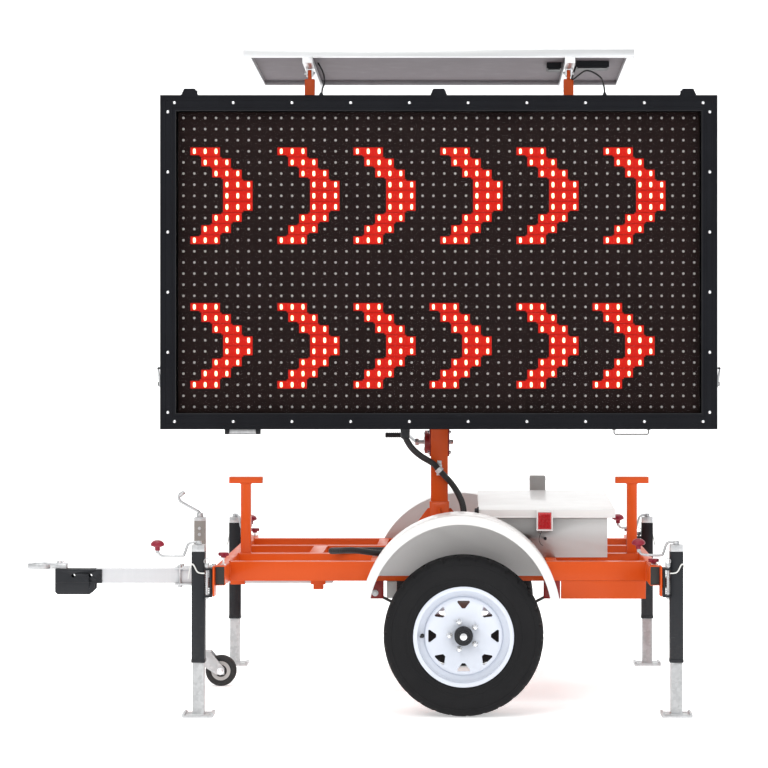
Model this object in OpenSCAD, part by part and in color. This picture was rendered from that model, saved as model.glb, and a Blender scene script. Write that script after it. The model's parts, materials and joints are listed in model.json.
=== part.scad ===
// Towed message-board trailer: frame, drawbar, axle, four corner jacks, jockey
// wheel, turning and lifting mast, sign cabinet with hinged door, solar panel.
// +X is the rear, -Y the side that the sign faces, +Z up, ground at z = 0.

/* [Frame] */
// Length of the frame over its two end beams
frame_len = 1704; // [1500:1:1900]
// Width over the two side rails
frame_w = 1210; // [1130:1:1260]
// Height of the frame's top above the ground
frame_top = 575; // [560:1:620]
// Height of every frame tube
rail_h = 75; // [60:1:80]
// Width of the long frame tubes
rail_w = 50; // [40:1:60]
// Width of the end beams
beam_w = 40; // [35:1:50]
// Length of an end beam
beam_len = 1600; // [1500:1:1640]
// Wall of the frame tubes
rail_wall = 3; // [2:0.5:5]
// Distance between the two inner beams, centre to centre
inner_pitch = 400; // [360:1:440]
// Distance from the axle forward to the mast
mast_fwd = 100; // [60:1:140]

/* [Drawbar] */
// Distance from the axle forward to the tow eye's centre
eye_fwd = 1753; // [1700:1:1900]
// Outer diameter of the tow eye
eye_od = 102; // [90:1:110]
// Hole in the tow eye
eye_hole = 65; // [50:1:70]
// Thickness of the tow eye
eye_t = 22; // [16:1:26]
// Side of the square drawbar tube
bar_w = 58; // [50:1:64]
// Wall of the drawbar tube
bar_wall = 4; // [3:0.5:6]

/* [Wheels] */
// Outer diameter of a tyre
tyre_d = 615; // [560:1:640]
// Width of a tyre
tyre_w = 185; // [155:1:195]
// Diameter of the rim's flange
rim_d = 385; // [360:1:400]
// Distance from the centre plane to the middle of a tyre
wheel_y = 757; // [750:1:762]
// Radius of a stub axle
spindle_r = 20; // [15:1:25]
// Outer radius of a fender
fender_r = 382; // [370:1:395]
// Distance from the centre plane to a fender's outer lip
fender_y = 860; // [855:1:880]

/* [Jacks] */
// Distance from the mast to a jack's axis, along the trailer
jack_x = 915; // [912:1:960]
// Distance from the centre plane to a jack's axis
jack_y = 780; // [740:1:790]
// Side of a jack's square outer tube
jack_w = 50; // [44:1:56]
// Side of a jack's square foot plate
foot_w = 116; // [90:1:118]
// Height of a jack tube's lower end
jack_low = 206; // [190:1:260]
// Height of a jack tube's upper end
jack_high = 630; // [610:1:660]

/* [Mast] */
// Side of the square outer mast
mast_w = 70; // [60:1:80]
// Wall of the outer mast
mast_wall = 4.5; // [3:0.5:6]
// Height of the turning shoulder
shoulder_z = 775; // [740:1:800]
// Height of the outer mast's top
mast_top = 1700; // [1600:1:1750]

/* [Sign] */
// Width of the sign cabinet
sign_w = 2250; // [2200:1:2300]
// Height of the sign cabinet
sign_h = 1350; // [1300:1:1360]
// Height of the cabinet's lower edge
sign_z = 1079; // [1079:1:1100]
// Distance of the door's front from the mast axis
sign_front = 270; // [260:1:290]
// Depth of the cabinet with its door
sign_d = 150; // [140:1:160]
// Thickness of the door
door_t = 20; // [16:1:24]
// Width of the door's border
border = 62; // [50:1:66]

/* [Solar panel] */
// Length of the panel
panel_l = 1580; // [1400:1:1700]
// Depth of the panel
panel_d = 808; // [700:1:900]
// Thickness of the panel's frame
panel_t = 30; // [25:1:40]
// Slope of the panel at rest, in degrees
panel_slope = 2.7; // [0:0.1:5]
// Height of the panel's hinge line
panel_z = 2534; // [2526:1:2600]
// Distance of each panel post from the mast
post_x = 530; // [450:1:600]

/* [Battery box] */
// Length of the battery box along the trailer
box_l = 507; // [450:1:520]
// Depth of the battery box across the trailer
box_d = 810; // [700:1:900]
// Height of the battery box up to its lid
box_h = 157; // [140:1:170]

/* [Hidden] */

$fn = 48;
eps = 0.01;
gap = 0.3;                 // between pieces of different bodies
run = 0.05;                // radial clearance of a shaft in its bore
seat = 0.3;                // radial clearance between round pieces that are fixed together

frame_bottom = frame_top - rail_h;
half_len = frame_len / 2;
half_w = frame_w / 2;
mast_x = -mast_fwd;
front_in = mast_x - half_len + beam_w;    // inner faces of the end beams
rear_in = mast_x + half_len - beam_w;
wheel_z = tyre_d / 2;
latch_out = 17;            // how far a side latch stands off the cabinet
front_reach = eye_fwd + eye_od / 2;
rear_reach = sign_w / 2 - mast_fwd + latch_out;
axle_x = (front_reach - rear_reach) / 2;  // puts the origin under the middle of the whole length

// Moves a piece that is drawn with its x measured from the axle
module from_axle() { translate([axle_x, 0, 0]) children(); }
// A block given by its two corners
module block(a, b) { translate(a) cube(b - a); }
// A square tube along X, Y or Z between two corners
module tube_x(a, b, t) { difference() { block(a, b); block(a + [-1, t, t], b - [-1, t, t]); } }
module tube_y(a, b, t) { difference() { block(a, b); block(a + [t, -1, t], b - [t, -1, t]); } }
module tube_z(a, b, t) { difference() { block(a, b); block(a + [t, t, -1], b - [t, t, -1]); } }
// A round bar along Y or X from one end to the other
module rod_y(p, r, len) { translate(p) rotate([-90, 0, 0]) cylinder(r = r, h = len); }
module rod_x(p, r, len) { translate(p) rotate([0, 90, 0]) cylinder(r = r, h = len); }
// Both sides of the trailer
module both_sides() { children(); mirror([0, 1, 0]) children(); }

// ---- swept tubes for bent rods and conduits
function lerp3(a, b, t) = a + (b - a) * t;
function spline(p0, p1, p2, p3, t) =
    0.5 * (2 * p1 + (p2 - p0) * t + (2 * p0 - 5 * p1 + 4 * p2 - p3) * t * t
        + (3 * p1 - p0 - 3 * p2 + p3) * t * t * t);
function smooth_path(p, n) = concat(
    [for (i = [0 : len(p) - 2], k = [0 : n - 1])
        spline(i == 0 ? 2 * p[0] - p[1] : p[i - 1], p[i], p[i + 1],
            i == len(p) - 2 ? 2 * p[i + 1] - p[i] : p[i + 2], k / n)],
    [p[len(p) - 1]]);
function unit(v) = v / norm(v);
function heading(p, i) = unit(p[min(i + 1, len(p) - 1)] - p[max(i - 1, 0)]);
function flatten_onto(v, t) = unit(v - t * (v * t));
function side_vectors(p, i = 0, v = [0.31, 0.52, 0.79]) =
    i == len(p) ? [] : let (w = flatten_onto(v, heading(p, i))) concat([w], side_vectors(p, i + 1, w));
module swept(p, r, sides) {
    v = side_vectors(p);
    rings = [for (i = [0 : len(p) - 1], k = [0 : sides - 1])
        let (a = 360 * k / sides, w = cross(heading(p, i), v[i])) p[i] + r * (cos(a) * v[i] + sin(a) * w)];
    last = (len(p) - 1) * sides;
    polyhedron(rings, concat(
        [[for (k = [0 : sides - 1]) k]],
        [for (i = [0 : len(p) - 2], k = [0 : sides - 1])
            let (a = i * sides + k, b = i * sides + (k + 1) % sides) [a, a + sides, b + sides, b]],
        [[for (k = [sides - 1 : -1 : 0]) last + k]]));
}

// ======== frame
rail_outer = half_w;
rail_inner = half_w - rail_w;
module rail_at(y0, y1) { tube_x([front_in, y0, frame_bottom], [rear_in, y1, frame_top], rail_wall); }

skirt_x = [380, 712];
skirt_h = 72;
skirt_t = 5;
skirt_in = 20;             // how far the skirt's foot leans inward
module side_rails() color("orangered") from_axle() both_sides() {
    rail_at(rail_inner, rail_outer);
    translate([skirt_x[0], rail_outer - skirt_t, frame_bottom]) rotate([90, 0, 90])
        linear_extrude(min(skirt_x[1], rear_in) - skirt_x[0])
            polygon([[-2, eps], [skirt_t - 2, eps], [skirt_t - skirt_in, -skirt_h], [-skirt_in, -skirt_h]]);
}

inner_y = inner_pitch / 2;
module inner_beams() color("orangered") from_axle() both_sides()
    rail_at(inner_y - rail_w / 2, inner_y + rail_w / 2);

// An end beam is closed at both ends by its cap
module end_beam(x0) difference() {
    block([x0, -beam_len / 2, frame_bottom], [x0 + beam_w, beam_len / 2, frame_top]);
    block([x0 + rail_wall, rail_wall - beam_len / 2, frame_bottom + rail_wall],
        [x0 + beam_w - rail_wall, beam_len / 2 - rail_wall, frame_top - rail_wall]);
}
module end_beams() color("orangered") from_axle() {
    end_beam(front_in - beam_w);
    end_beam(rear_in);
}

// Cross tubes between the long tubes, and the two sleeves that hold the drawbar under the frame
cross_x = [-600, mast_x - 150, mast_x + 150, 420];
cross_w = 57;
outrigger_x = [-345, 345];
sleeve_t = 5;
bar_top = frame_bottom - sleeve_t;
bar_bottom = bar_top - bar_w;
sleeve_l = 60;
module sleeve(x) tube_x([x - sleeve_l / 2, -bar_w / 2 - sleeve_t, bar_bottom - sleeve_t],
    [x + sleeve_l / 2, bar_w / 2 + sleeve_t, frame_bottom], sleeve_t);
module cross_members() color("orangered") from_axle() {
    for (x = cross_x)
        tube_y([x - cross_w / 2, rail_w / 2 - inner_y, frame_bottom],
            [x + cross_w / 2, inner_y - rail_w / 2, frame_top], rail_wall);
    for (x = outrigger_x) both_sides()
        tube_y([x - beam_w / 2, inner_y + rail_w / 2, frame_bottom],
            [x + beam_w / 2, rail_inner, frame_top], rail_wall);
    sleeve(front_in - beam_w / 2);
    sleeve(cross_x[0]);
    block([cross_x[0] - 20, -bar_w / 2, bar_bottom - 26], [cross_x[0] + 20, bar_w / 2, bar_bottom - sleeve_t]);
}

// Two T-shaped rests that the lowered sign stands on
rest_out = 783;
rest_y = -195;
rest_post = 40;
rest_bar = [135, 50, 26];
rest_top = 885;
module sign_rests() color("coral") from_axle() for (s = [-1, 1]) translate([mast_x + s * rest_out, rest_y, 0]) {
    tube_z([-rest_post / 2, -rest_post / 2, frame_top], [rest_post / 2, rest_post / 2, rest_top - rest_bar.z], 3);
    block([-rest_bar.x / 2, -rest_bar.y / 2, rest_top - rest_bar.z], [rest_bar.x / 2, rest_bar.y / 2, rest_top]);
}

// Socket that the mast turns in, on its plate, with four gussets
socket_w = 80;
spigot_r = 30;
plate_l = 326;
plate_w = 400;
plate_t = 8;
gusset_out = 160;
gusset_t = 8;
plate_top = frame_top + plate_t;
module mast_socket() color("orangered") from_axle() translate([mast_x, 0, 0]) {
    difference() {
        union() {
            block([-plate_l / 2, -plate_w / 2, frame_top], [plate_l / 2, plate_w / 2, plate_top]);
            block([-socket_w / 2, -socket_w / 2, plate_top - eps], [socket_w / 2, socket_w / 2, shoulder_z - gap]);
            for (a = [0 : 90 : 270]) rotate([0, 0, a]) translate([0, gusset_t / 2, 0]) rotate([90, 0, 0])
                linear_extrude(gusset_t) polygon([[socket_w / 2 - eps, plate_top - eps], [gusset_out, plate_top - eps],
                    [gusset_out, plate_top + 14], [socket_w / 2 + 8, shoulder_z - 30], [socket_w / 2 - eps, shoulder_z - 30]]);
        }
        translate([0, 0, frame_top + 3]) cylinder(r = spigot_r + run, h = shoulder_z);
    }
}

// ======== running gear
fender_t = 3;
fender_at = [-12, 0, 389];  // centre of a fender's arc
fender_wall_z = 131;       // from the centre up to the inner wall's lower edge
fender_end = 9;            // how far above the horizontal the arc ends, in degrees
lip_h = 32;
module sector(r, z0) intersection() {
    circle(r);
    translate([-r, r * sin(z0)]) square([2 * r, 2 * r]);
}
module fender() translate(fender_at) rotate([90, 0, 180]) {
    // sheet over the tyre
    translate([0, 0, rail_outer]) linear_extrude(fender_y - rail_outer) difference() {
        sector(fender_r, fender_end);
        circle(fender_r - fender_t);
    }
    // outer lip
    translate([0, 0, fender_y - fender_t]) linear_extrude(fender_t) difference() {
        sector(fender_r - fender_t + eps, fender_end);
        circle(fender_r - lip_h);
    }
    // inner wall, against the side rail
    translate([0, 0, rail_outer]) linear_extrude(fender_t) intersection() {
        circle(fender_r - fender_t + eps);
        translate([-fender_r, fender_wall_z]) square([2 * fender_r, fender_r]);
    }
}
module fenders() color("white") from_axle() both_sides() fender();

axle_w = 50;
axle_end = 640;
spindle_end = 790;
module axle() color("dimgray") from_axle() {
    difference() {
        block([-axle_w / 2, -axle_end, wheel_z - axle_w / 2], [axle_w / 2, axle_end, wheel_z + axle_w / 2]);
        block([4 - axle_w / 2, 12 - axle_end, wheel_z - axle_w / 2 + 4], [axle_w / 2 - 4, axle_end - 12, wheel_z + axle_w / 2 - 4]);
    }
    both_sides() rod_y([0, axle_end, wheel_z], spindle_r, spindle_end - axle_end);
}

spring_y = rail_outer - rail_w / 2;
leaf_w = 36;
leaf_t = 8;
leaf_reach = [345, 235, 125];
leaf_r = 645;
leaf_z = wheel_z + axle_w / 2 + 3 * leaf_t + leaf_r;   // centre of the leaves' arc
eye_z = leaf_z - sqrt(leaf_r * leaf_r - leaf_reach[0] * leaf_reach[0]) - leaf_t / 2;
eye_r = 14;
eye_pin_r = 7;
module leaf(i) intersection() {
    difference() {
        rod_y([0, 0, leaf_z], leaf_r + (i + 1) * leaf_t, leaf_w);
        rod_y([0, -1, leaf_z], leaf_r + i * leaf_t, leaf_w + 2);
    }
    block([-leaf_reach[i], 0, 0], [leaf_reach[i], leaf_w, leaf_z - leaf_r / 2]);
}
module leaf_springs() color("black") from_axle() both_sides() translate([0, spring_y - leaf_w / 2, 0])
    difference() {
        union() {
            leaf(0);
            leaf(1);
            leaf(2);
            for (s = [-1, 1]) rod_y([s * leaf_reach[0], 0, eye_z], eye_r, leaf_w);
        }
        for (s = [-1, 1]) rod_y([s * leaf_reach[0], -1, eye_z], eye_pin_r + seat, leaf_w + 2);
    }

hanger_t = 5;
hanger_w = 64;
clamp_x = axle_w / 2 + 7;
clamp_half = 46;
clamp_z = leaf_z - sqrt(leaf_r * leaf_r - clamp_half * clamp_half) + 0.1;
module spring_hangers() color("firebrick") from_axle() both_sides() {
    for (s = [-1, 1]) {
        for (y = [spring_y - leaf_w / 2 - 1 - hanger_t, spring_y + leaf_w / 2 + 1])
            difference() {
                block([s * leaf_reach[0] - hanger_w / 2, y, eye_z - 22], [s * leaf_reach[0] + hanger_w / 2, y + hanger_t, frame_bottom]);
                rod_y([s * leaf_reach[0], y - 1, eye_z], eye_pin_r + seat, hanger_t + 2);
            }
        rod_y([s * leaf_reach[0], spring_y - leaf_w / 2 - 1 - hanger_t, eye_z], eye_pin_r, leaf_w + 2 + 2 * hanger_t);
    }
    // plate over the leaves, plate under the axle, and the bolts between them
    block([-clamp_half, spring_y - 38, clamp_z], [clamp_half, spring_y + 38, clamp_z + 8]);
    block([-clamp_half, spring_y - 38, wheel_z - axle_w / 2 - 8], [clamp_half, spring_y + 38, wheel_z - axle_w / 2]);
    for (x = [-clamp_x, clamp_x], y = [-27, 27])
        translate([x, spring_y + y, wheel_z - axle_w / 2 - eps]) cylinder(r = 5, h = clamp_z - wheel_z + axle_w / 2 + 2 * eps);
}

// ======== wheels, drawn with the axle along Z and the outer side up
bead_r = rim_d / 2 - 12;
module tyre() color("black") rotate_extrude($fn = 96) difference() {
    polygon([[bead_r + seat, -tyre_w * 0.42], [rim_d / 2 + seat, -tyre_w * 0.42], [rim_d / 2 + 6, -tyre_w * 0.46], [tyre_d * 0.43, -tyre_w / 2],
        [tyre_d * 0.475, -tyre_w * 0.46], [tyre_d / 2 - 3, -tyre_w * 0.37], [tyre_d / 2, -tyre_w * 0.2],
        [tyre_d / 2, tyre_w * 0.2], [tyre_d / 2 - 3, tyre_w * 0.37], [tyre_d * 0.475, tyre_w * 0.46],
        [tyre_d * 0.43, tyre_w / 2], [rim_d / 2 + 6, tyre_w * 0.46], [rim_d / 2 + seat, tyre_w * 0.42], [bead_r + seat, tyre_w * 0.42]]);
    polygon([[bead_r, -tyre_w * 0.3], [tyre_d * 0.43, -tyre_w * 0.41], [tyre_d / 2 - 20, -tyre_w * 0.33],
        [tyre_d / 2 - 15, 0], [tyre_d / 2 - 20, tyre_w * 0.33], [tyre_d * 0.43, tyre_w * 0.41], [bead_r, tyre_w * 0.3]]);
}

disc_z = 22;               // the disc stands this far outside the tyre's middle
disc_t = 6;
hub_r = 35;
flange_r = 66;
lug_pcd = 110;
hole_ring = 120;
module rim() color("gainsboro") difference() {
    rotate_extrude($fn = 96) polygon([
        [bead_r - 4, -tyre_w * 0.42 - 4], [rim_d / 2, -tyre_w * 0.42 - 4], [rim_d / 2, -tyre_w * 0.42 - seat],
        [bead_r, -tyre_w * 0.42 - seat], [bead_r, -55], [bead_r - 20, -45], [bead_r - 20, 8], [bead_r, 22],
        [bead_r, tyre_w * 0.42 + seat], [rim_d / 2, tyre_w * 0.42 + seat], [rim_d / 2, tyre_w * 0.42 + 4],
        [bead_r - 4, tyre_w * 0.42 + 4], [bead_r - 4, disc_z + 12], [152, disc_z + 12], [148, disc_z + disc_t + 16],
        [126, disc_z + disc_t + 16], [72, disc_z + disc_t], [hub_r + seat, disc_z + disc_t], [hub_r + seat, disc_z],
        [74, disc_z], [128, disc_z + 14], [140, disc_z + 14], [bead_r - 28, disc_z], [bead_r - 24, -48], [bead_r - 4, -60]]);
    for (i = [0 : 7]) rotate([0, 0, 45 * i]) translate([hole_ring, 0, 0])
        linear_extrude(90) polygon([[15, -22], [15, 22], [9, 24], [-15, 6], [-15, -6], [9, -24]]);
    for (i = [0 : 4]) rotate([0, 0, 180 + 72 * i]) translate([lug_pcd / 2, 0, 0]) cylinder(r = 6 + seat, h = 60);
}

module hub() color("dimgray") difference() {
    union() {
        translate([0, 0, -62]) cylinder(r = hub_r, h = 62 + disc_z + 46);
        translate([0, 0, disc_z - 12]) cylinder(r = flange_r, h = 12);
        for (i = [0 : 4]) rotate([0, 0, 180 + 72 * i]) translate([lug_pcd / 2, 0, disc_z - eps]) {
            cylinder(r = 6, h = 34);
            translate([0, 0, disc_t + eps]) cylinder(r = 10.5, h = 16, $fn = 6);
        }
        translate([0, 0, disc_z + 46]) cylinder(r = 20, h = 8);
    }
    translate([0, 0, -63]) cylinder(r = spindle_r + run, h = 63 + spindle_end - wheel_y + 6);
}
module wheel_place(side) from_axle() translate([0, side * wheel_y, wheel_z]) rotate([-90 * side, 0, 0]) children();
module tyre_near() wheel_place(-1) tyre();
module tyre_far() wheel_place(1) tyre();
module rim_near() wheel_place(-1) rim();
module rim_far() wheel_place(1) rim();
module hub_near() wheel_place(-1) hub();
module hub_far() wheel_place(1) hub();

// ======== drawbar and tow eye
coupling_x = [-1685, -1522];
cheek_t = 6;
cheek_low = 391;
cheek_back = 30;           // how far the cheeks reach back along the drawbar
hitch_holes = [-1610, -1540];
hitch_hole_r = 8;
hitch_z = 468;
bar_front = coupling_x[1] + 2;
module drawbar() color("lightgray") from_axle()
    tube_x([bar_front, -bar_w / 2, bar_bottom], [cross_x[0] + sleeve_l, bar_w / 2, bar_top], bar_wall);
module coupling() color("#14161d") from_axle() difference() {
    union() {
        for (s = [-1, 1]) translate([0, s > 0 ? bar_w / 2 + cheek_t : -bar_w / 2, 0]) rotate([90, 0, 0])
            linear_extrude(cheek_t) polygon([[coupling_x[0], cheek_low + 10], [coupling_x[0] + 10, cheek_low],
                [coupling_x[1] - 20, cheek_low], [coupling_x[1], cheek_low + 20], [coupling_x[1], bar_bottom],
                [coupling_x[1] + cheek_back, bar_bottom], [coupling_x[1] + cheek_back, bar_top], [coupling_x[0], bar_top]]);
        block([coupling_x[0], -bar_w / 2 - eps, bar_top - cheek_t], [coupling_x[1], bar_w / 2 + eps, bar_top]);
        block([coupling_x[0], -bar_w / 2 - eps, cheek_low + 10], [coupling_x[0] + cheek_t, bar_w / 2 + eps, bar_top]);
    }
    for (x = hitch_holes) rod_y([x, -bar_w, hitch_z], hitch_hole_r, 2 * bar_w);
}
neck_w = 46;
neck_end = -1640;
module tow_ring() color("silver") from_axle() translate([0, 0, bar_top]) difference() {
    union() {
        translate([-eye_fwd, 0, 0]) cylinder(r = eye_od / 2, h = eye_t, $fn = 72);
        block([-eye_fwd + eye_hole / 2, -neck_w / 2, 0], [neck_end, neck_w / 2, eye_t]);
    }
    translate([-eye_fwd, 0, -1]) cylinder(r = eye_hole / 2, h = eye_t + 2, $fn = 72);
}

// ======== jockey wheel
jockey_x = -1098;
post_w = 45;
post_wall = 3;
clamp_t = 8;
saddle_half = 45;
weld_t = 6;
jockey_y = saddle_half + weld_t + post_w / 2;
jockey_top = 702;
jockey_low = 320;
saddle_x = [-1190, -1017];
module jockey_clamp() color("dimgray") from_axle() {
    for (z = [bar_top, bar_bottom - clamp_t]) difference() {
        block([saddle_x[0], -saddle_half, z], [saddle_x[1], saddle_half, z + clamp_t]);
        for (x = [saddle_x[0] + 20, saddle_x[1] - 20], y = [-35.5, 35.5]) translate([x, y, z - 1]) cylinder(r = 6, h = clamp_t + 2);
    }
    block([jockey_x - 42, saddle_half, bar_bottom - clamp_t], [jockey_x + 42, saddle_half + weld_t, bar_top + clamp_t]);
    for (x = [saddle_x[0] + 20, saddle_x[1] - 20], y = [-35.5, 35.5]) translate([x, y, bar_bottom - clamp_t]) {
        translate([0, 0, -9]) cylinder(r = 6 - seat, h = bar_w + 2 * clamp_t + 18);
        translate([0, 0, -9]) cylinder(r = 9, h = 9, $fn = 6);
        translate([0, 0, bar_w + 2 * clamp_t]) cylinder(r = 9, h = 9, $fn = 6);
    }
}
module at_jockey() from_axle() translate([jockey_x, jockey_y, 0]) children();
head_bore = 8;
module jockey_tube() color("#6e6562") at_jockey() {
    tube_z([-post_w / 2, -post_w / 2, jockey_low], [post_w / 2, post_w / 2, jockey_top - 10], post_wall);
    difference() {
        block([-post_w / 2, -post_w / 2, jockey_top - 10], [post_w / 2, post_w / 2, jockey_top]);
        translate([0, 0, jockey_top - 20]) cylinder(r = head_bore + run, h = 40);
    }
}
leg_gap = 0.3;
jockey_leg_w = post_w - 2 * post_wall - 2 * leg_gap;
caster_top = 158;
module jockey_leg() color("silver") at_jockey() difference() {
    block([-jockey_leg_w / 2, -jockey_leg_w / 2, caster_top], [jockey_leg_w / 2, jockey_leg_w / 2, 520]);
    translate([0, 0, 190]) block([3 - jockey_leg_w / 2, 3 - jockey_leg_w / 2, 0], [jockey_leg_w / 2 - 3, jockey_leg_w / 2 - 3, 400]);
    translate([0, 0, caster_top - 1]) cylinder(r = 10 + run, h = 29);
}
jockey_wheel_r = 64;
jockey_trail = 88;
jockey_wheel_w = 45;
module jockey_fork() color("gray") at_jockey() {
    translate([0, 0, caster_top - 22]) cylinder(r = 10, h = 48);
    difference() {
        union() {
            block([-32, -34, caster_top - 20], [46, 34, caster_top - 12]);
            for (s = [-1, 1]) translate([0, s > 0 ? 34 : -29, 0]) rotate([90, 0, 0]) linear_extrude(5)
                polygon([[-32, caster_top - 12 - eps], [46, caster_top - 12 - eps], [jockey_trail + 16, jockey_wheel_r + 12],
                    [jockey_trail + 16, jockey_wheel_r - 14], [jockey_trail - 16, jockey_wheel_r - 14], [-20, caster_top - 50]]);
        }
        rod_y([jockey_trail, -40, jockey_wheel_r], 8 + seat, 80);
    }
    rod_y([jockey_trail, -40, jockey_wheel_r], 8, 80);
}
module jockey_wheel() color("#1c2023") at_jockey() translate([jockey_trail, -jockey_wheel_w / 2, jockey_wheel_r])
    rotate([-90, 0, 0]) rotate_extrude($fn = 64) polygon([[8 + run, 0], [22, 0], [26, 6], [44, 6], [50, 2],
        [jockey_wheel_r - 6, 2], [jockey_wheel_r, 8], [jockey_wheel_r, jockey_wheel_w - 8], [jockey_wheel_r - 6, jockey_wheel_w - 2],
        [50, jockey_wheel_w - 2], [44, jockey_wheel_w - 6], [26, jockey_wheel_w - 6], [22, jockey_wheel_w], [8 + run, jockey_wheel_w]]);
// Bent crank: a bar that leaves its hub, with a short grip at the end
module jockey_crank() color("silver") at_jockey() {
    translate([0, 0, jockey_top - 18]) cylinder(r = head_bore, h = 30);
    translate([0, 0, jockey_top + gap]) cylinder(r = 14, h = 18);
    translate([-86, -6, 0]) rotate([90, 0, 180]) translate([0, 0, -12]) linear_extrude(12)
        polygon([[-80, jockey_top + 18], [-80, jockey_top + 6], [6, jockey_top + 58], [6, jockey_top + 70], [-4, jockey_top + 70]]);
    translate([-88, 0, jockey_top + 66]) cylinder(r = 9, h = 44);
}

// ======== corner jacks, drawn with the jack's axis on Z and the end beam towards +X
jack_wall = 3;
jack_leg_w = jack_w - 2 * jack_wall - 2 * leg_gap;
beam_face = jack_x - half_len;             // from the jack's axis to the end beam's face
pivot_z = frame_top - 65;
pivot_r = 20;
mount_t = 6;
ear_z = [456, 568];
ear_t = 8;
bracket_t = 10;
jack_head = 25;
foot_t = 8;
module jack_tube() color("#15181a") {
    tube_z([-jack_w / 2, -jack_w / 2, jack_low], [jack_w / 2, jack_w / 2, jack_high], jack_wall);
    difference() {
        block([-jack_w / 2 + 2, -jack_w / 2 + 2, jack_high], [jack_w / 2 - 2, jack_w / 2 - 2, jack_high + jack_head]);
        translate([0, 0, jack_high - 1]) cylinder(r = head_bore + run, h = jack_head + 2);
    }
    // C-shaped bracket that turns on the pivot
    difference() {
        union() {
            block([beam_face - mount_t - 4 - bracket_t, -30, ear_z[0]], [beam_face - mount_t - 4, 30, ear_z[1]]);
            for (z = [ear_z[0], ear_z[1] - ear_t])
                block([jack_w / 2, -22, z], [beam_face - mount_t - 4, 22, z + ear_t]);
        }
        rod_x([0, 0, pivot_z], pivot_r + run, beam_face);
    }
}
leg_top = 460;
module jack_leg() color("silver") {
    difference() {
        block([-jack_leg_w / 2, -jack_leg_w / 2, foot_t - eps], [jack_leg_w / 2, jack_leg_w / 2, leg_top]);
        block([4 - jack_leg_w / 2, 4 - jack_leg_w / 2, 30], [jack_leg_w / 2 - 4, jack_leg_w / 2 - 4, leg_top + 1]);
    }
    difference() {
        block([-foot_w / 2, -foot_w / 2, 0], [foot_w / 2, foot_w / 2, foot_t + 8]);
        block([10 - foot_w / 2, -foot_w, foot_t], [foot_w / 2 - 10, foot_w, foot_t + 9]);
        for (s = [-1, 1]) translate([0, s * foot_w / 2, 0]) block([-foot_w, -6, foot_t + 4], [foot_w, 6, foot_t + 9]);
    }
}
crank_path = [[0, 664], [28, 664], [42, 654], [54, 622], [66, 612], [135, 612], [152, 620], [158, 640]];
crank_rod = 5;
knob_r = 26.5;
module jack_crank(turn) color("silver") rotate([0, 0, turn]) {
    translate([0, 0, jack_high + 4]) cylinder(r = head_bore, h = 36);
    swept(smooth_path([for (q = crank_path) [q.x, 0, q.y]], 2), crank_rod, 8);
    translate([158, 0, 633]) {
        cylinder(r = 9, h = 20);
        translate([0, 0, 18]) cylinder(r1 = knob_r - 3, r2 = knob_r, h = 8, $fn = 48);
        translate([0, 0, 26 - eps]) cylinder(r1 = knob_r, r2 = 15, h = 15, $fn = 48);
    }
}
// Places a piece at a corner: end is -1 at the front and 1 at the rear, side is -1 near and 1 far
module at_corner(end, side) from_axle() translate([mast_x + end * jack_x, side * jack_y, 0])
    rotate([0, 0, end > 0 ? 180 : 0]) children();
module jack_tube_front_near() at_corner(-1, -1) jack_tube();
module jack_tube_front_far() at_corner(-1, 1) jack_tube();
module jack_tube_rear_near() at_corner(1, -1) jack_tube();
module jack_tube_rear_far() at_corner(1, 1) jack_tube();
module jack_leg_front_near() at_corner(-1, -1) jack_leg();
module jack_leg_front_far() at_corner(-1, 1) jack_leg();
module jack_leg_rear_near() at_corner(1, -1) jack_leg();
module jack_leg_rear_far() at_corner(1, 1) jack_leg();
module jack_crank_front_near() at_corner(-1, -1) jack_crank(180);
module jack_crank_front_far() at_corner(-1, 1) jack_crank(-59);
module jack_crank_rear_near() at_corner(1, -1) jack_crank(-28);
module jack_crank_rear_far() at_corner(1, 1) jack_crank(32);
module jack_mounts() color("orangered") for (e = [-1, 1], s = [-1, 1]) at_corner(e, s) {
    block([beam_face - mount_t, -38, pivot_z - 50], [beam_face, 38, frame_top]);
    rod_x([jack_w / 2 + 6, 0, pivot_z], pivot_r, beam_face - mount_t - jack_w / 2 - 6 + eps);
}

// ======== battery box, drawn from the axle
box_x = 65;
box_wall = 3;
box_top = frame_top + box_h;
lid_over = 32;             // how far the lid stands over the box at the rear
lid_back = 795;
lid_front = 764;
lid_t = 3;
module battery_box() color("white") {
    box_shell();
    lid_ears();
}
module box_shell() from_axle() difference() {
    block([box_x, -box_d / 2, frame_top], [box_x + box_l, box_d / 2, box_top]);
    block([box_x + box_wall, box_wall - box_d / 2, frame_top + box_wall], [box_x + box_l - box_wall, box_d / 2 - box_wall, box_top + 1]);
    rod_x([box_x - 1, conduit_in.y, conduit_in.z], hose_r + 0.9, box_wall + 2);
}
module lid_ears() from_axle() for (x = lid_hinge_x, s = [-1, 1]) difference() {
    block([x + s * 17 - 3, box_d / 2 - eps, box_top - 40], [x + s * 17 + 3, lid_hinge.x + 7, lid_hinge.y + 7]);
    block([x - 30, 0, box_top - eps], [x + 30, lid_hinge.x - 5, box_top + 60]);
    rod_x([x - 30, lid_hinge.x, lid_hinge.y], lid_pin_r + run, 60);
}
batt = [170, 330, 140];
module batteries() color("#2a2c30") from_axle()
    for (x = [box_x + 12, box_x + 12 + batt.x + 10], y = [-batt.y - 5, 5])
        translate([x, y, frame_top + box_wall]) cube(batt);
lid_y = box_d / 2 + lid_t;
lid_hinge = [lid_y + 8, box_top + 20];     // y and z of the lid's hinge line
lid_hinge_x = [box_x + 80, box_x + box_l - 80];
lid_pin_r = 4;
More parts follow.
